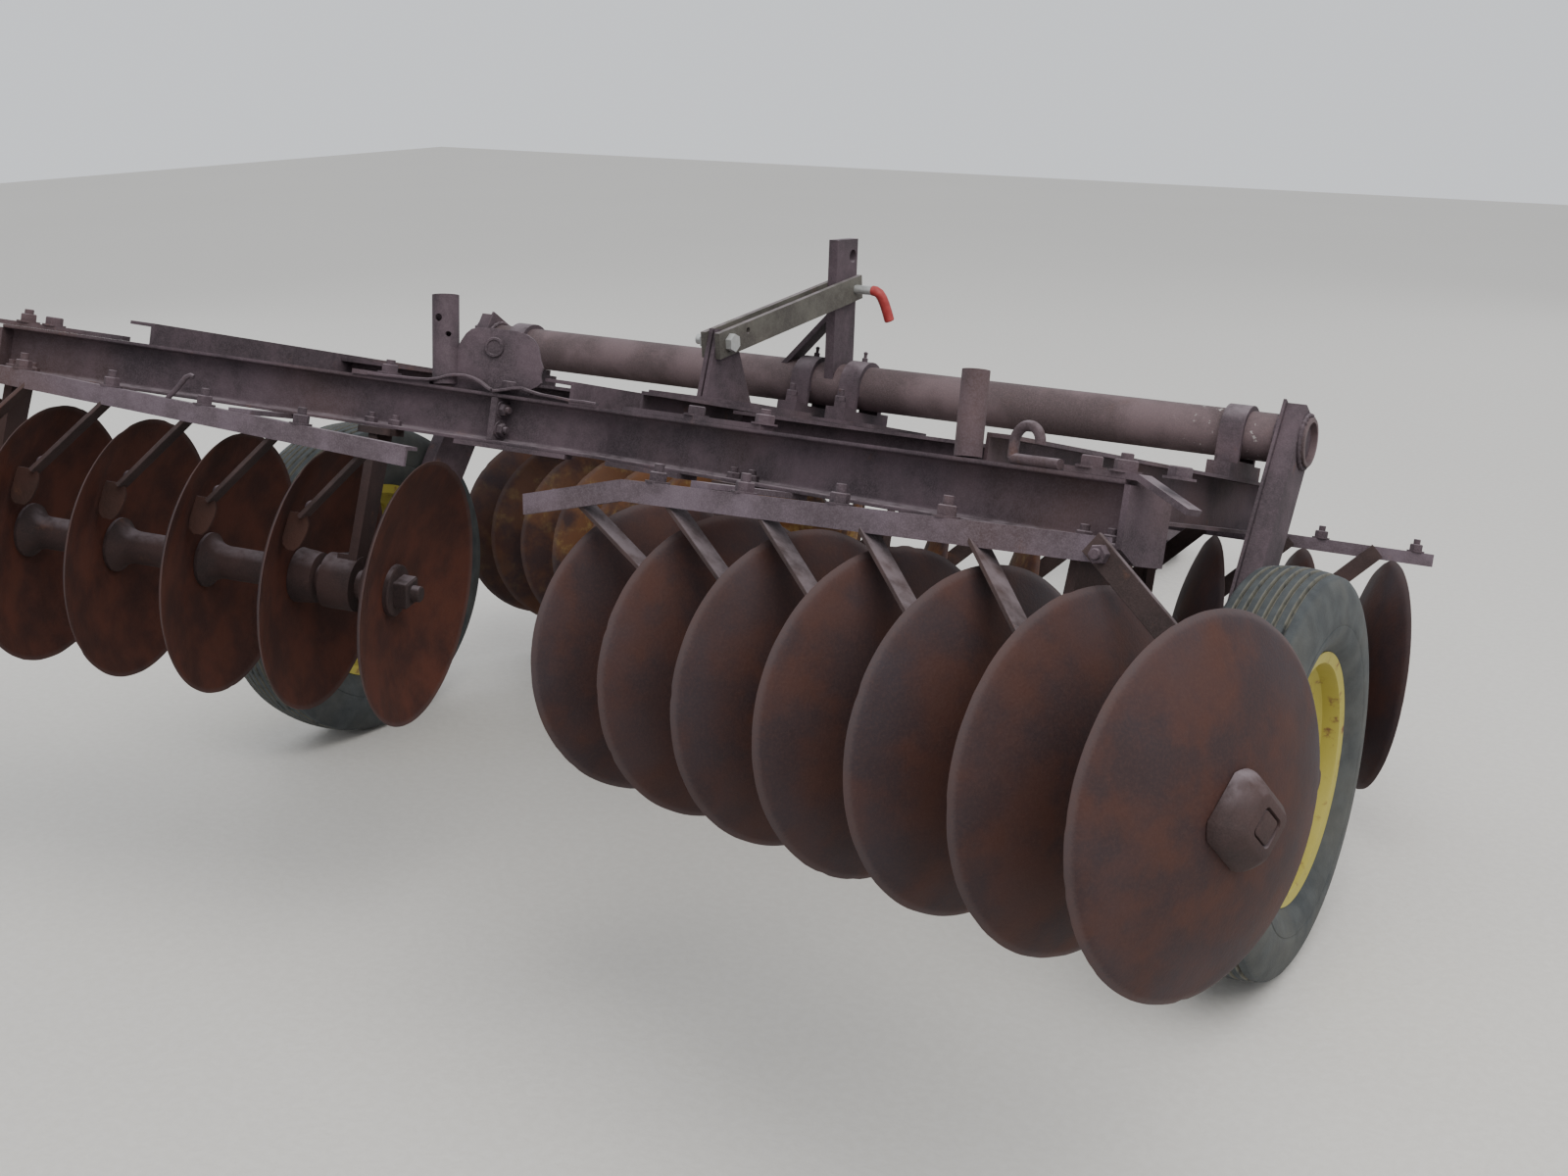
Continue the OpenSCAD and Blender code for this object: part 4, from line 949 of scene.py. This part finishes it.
def gang_iron(name, gang, bulge, bearings):
    """Bolt, spools, journals, nut and bumper of one gang as one piece on its own body.

    A spool's flare is radius = waist + (end - 2 - waist) * (1 - share) ** 2.4. Where bearings names
    a gap between two blades, two end collars and a journal take the spool's place."""
    side, outward, start = gang_place(gang)
    seat = float(hollow_at(0))
    room = PITCH - BLADE_THICK - 2 * SPOOL_GAP
    first = (seat + BLADE_THICK if bulge > 0 else -seat) + SPOOL_GAP
    share = np.linspace(0, 1, 9)
    curve = SPOOL_WAIST + (SPOOL_END - 2 - SPOOL_WAIST) * (1 - share) ** 2.4
    flare = np.stack([8 + 36 * share, curve], -1)
    step = (room - BEARING_WIDE) / 2 - 3
    parts = []
    for number in range(GANG_BLADES - 1):
        low = first + number * PITCH
        if number in bearings:
            profile = [(0, 0.1), (0, SPOOL_END - 1), (1, SPOOL_END), (step * 0.5, SPOOL_END - 2),
                       (step - 1, SPOOL_END - 4), (step, SPOOL_END - 6), (step, JOURNAL),
                       (room - step, JOURNAL), (room - step, SPOOL_END - 6),
                       (room - step + 1, SPOOL_END - 4), (room - 1, SPOOL_END),
                       (room, SPOOL_END - 1), (room, 0.1)]
        else:
            profile = [(0, 0.1), (0, SPOOL_END - 1), (1.2, SPOOL_END), (6.5, SPOOL_END)]
            profile += flare.tolist()
            profile += [(room - x, r) for x, r in flare.tolist()[::-1]]
            profile += [(room - 6.5, SPOOL_END), (room - 1.2, SPOOL_END), (room, SPOOL_END - 1),
                        (room, 0.1)]
        parts.append(turned([(low + x, r) for x, r in profile], start, outward, 44))
    last = start + outward * (first + (GANG_BLADES - 1) * PITCH) / 1000
    hollow_end = start + outward * (first - BLADE_THICK - 2 * SPOOL_GAP) / 1000
    if bulge > 0:
        parts.append(bumper(last, outward, side))
        nut_place, nut_way = hollow_end, -outward
    else:
        parts.append(lofted(collar(0, 12, 43), hollow_end, -outward))
        nut_place, nut_way = last, outward
    nut = rounded_square(23, 4)
    parts.append(lofted(collar(0, 10, 45), nut_place, nut_way))
    parts.append(lofted([(10, nut), (33, nut), (36, nut * 0.88)], nut_place, nut_way, 18))
    parts.append(lofted(collar(36, 52, 14), nut_place, nut_way))
    piece = built(name + "_iron", together(parts), cast_finish, gang, 38)
    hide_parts(name)


for word in ("right", "left"):
    gang_iron("axle_rear_" + word, "gang_rear_" + word, 1, (0, 4))
    gang_iron("axle_front_" + word, "gang_front_" + word, -1, (0, 3))


# Wheels
# Ribbed implement tyres, grey green with age, on yellow pressed steel rims.
rubber = Finish("aged tyre rubber")
rubber_mottle = rubber.cloud(24, 4)
rubber_fine = rubber.cloud(300, 2)
dusty = rubber.own("groove") * rubber.cloud(36, 3, 0.6).between(0.25, 0.55)
side_dust = rubber.own("wall") * rubber.cloud(7, 4).between(0.35, 0.75) * 0.45
rubber_colour = rubber.blend(rubber_mottle.between(0.35, 0.7), (0.029, 0.034, 0.037),
                             (0.050, 0.057, 0.059))
rubber_colour = rubber.blend(side_dust, rubber_colour, (0.105, 0.100, 0.082))
rubber_colour = rubber.blend(dusty * 0.8, rubber_colour, (0.170, 0.160, 0.125))
tyre_finish = rubber.coat(rubber_colour, 0.72 + 0.15 * rubber_fine,
                          normal=rubber.bump(rubber_fine, 0.0006))
paint = Finish("faded yellow paint")
paint_patch = paint.cloud(26, 5, 0.65)
yellow = paint.blend(paint.cloud(6, 3), (0.32, 0.27, 0.034), (0.41, 0.355, 0.074))
yellow = paint.blend(paint_patch.between(0.55, 0.68), yellow, (0.17, 0.075, 0.035))
rim_finish = paint.coat(yellow, 0.5 + 0.3 * paint_patch, normal=paint.bump(paint_patch, 0.001))
TYRE_OUT, TREAD, GROOVES, TYRE_TURNS, WHEEL_STUDS = 1048, 60, (-45, -27, -9, 9, 27, 45), 150, 5


def tyre_profile():
    """(across, radius, groove, wall) all round the tyre's section, from the inner bead over the tread.

    The crown is radius = 350 - 8 * (across / 60) ** 2, cut by six narrow grooves."""
    wall = [(-53.2, 203.6), (-56.4, 209), (-57.4, 217), (-62, 223), (-70, 232), (-76, 244), (-79.2, 256),
            (-79.8, 262), (-78.4, 264), (-80, 268), (-79.8, 280), (-78.4, 296), (-75.6, 312),
            (-72.4, 322), (-69, 330), (-65, 337)]
    inside = [(40, 204), (45, 226), (68, 262), (66, 294), (54, 320), (0, 326), (-54, 320), (-66, 294),
              (-68, 262), (-45, 226), (-40, 204)]
    stops = [(-TREAD, 0)]
    for middle in GROOVES:
        stops += [(middle - 4.6, 0), (middle - 3.2, 1.0), (middle - 2.4, 3.4), (middle - 1.6, 8.6),
                  (middle + 1.6, 8.6), (middle + 2.4, 3.4), (middle + 3.2, 1.0), (middle + 4.6, 0)]
    stops.append((TREAD, 0))
    section = [(x, r, 0, 1) for x, r in wall]
    section += [(x, TYRE_RADIUS * 1000 - 8 * (x / TREAD) ** 2 - depth, depth > 0.5, 0)
                for x, depth in stops]
    section += [(-x, r, 0, 1) for x, r in wall[::-1]]
    section += [(x, r, 0, 0) for x, r in inside]
    return np.array(section, float)


profile = tyre_profile()
groove_values = np.repeat(profile[:, 2], TYRE_TURNS)
wall_values = np.repeat(profile[:, 3], TYRE_TURNS)
pan = [(-60, 217), (-56, 217), (-54, 204), (-50, 203), (-28, 201), (-20, 192), (-14, 180), (14, 180),
       (20, 192), (28, 201), (50, 203), (54, 204), (56, 217), (60, 217), (59, 212), (57, 198), (52, 196),
       (28, 194), (20, 186), (16, 174), (18, 160), (22, 148), (21, 138), (12, 122), (4, 110), (1, 96),
       (0, 84), (0, 46.3), (-6, 46.3), (-6, 88), (-3, 112), (6, 128), (14, 141), (13, 158), (8, 172),
       (-16, 173), (-28, 194), (-52, 196), (-57, 198), (-59, 212)]
cup = [(-70, 20), (-70, 36), (-68, 38), (-20, 46), (-18, 71), (-6.3, 72), (-6.3, 46), (26, 46), (30, 44),
       (34, 40), (38, 33), (40, 28.5), (70, 28), (75, 26), (78, 21), (78, 0.1)]
for side, word in ((1, "right"), (-1, "left")):
    body = "wheel_" + word
    centre = standing([side * TYRE_OUT, 0, 0])
    outward = side * ACROSS
    tyre = built("tyre_" + word + "_ribbed", turned(profile[:, :2], centre, outward, TYRE_TURNS, True),
                 tyre_finish, body, 30, {"groove": groove_values, "wall": wall_values})
    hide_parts("tyre_" + word)
    rim = built("rim_" + word + "_pan", turned(pan, centre, outward, 120, True), rim_finish, body,
                34)
    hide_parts("rim_" + word)
    parts = [turned(cup, centre, outward, 56)]
    for number in range(WHEEL_STUDS):
        turn = math.radians(360 / WHEEL_STUDS * number + 20)
        away = (math.cos(turn) * AHEAD + math.sin(turn) * UP) * 0.064
        parts.append(bolt(centre + away + 0.0002 * outward, outward, 22, 14, 8, 30 * number))
    hub = built("hub_" + word + "_cup", together(parts), cast_finish, body, 36)
    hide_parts("hub_" + word)
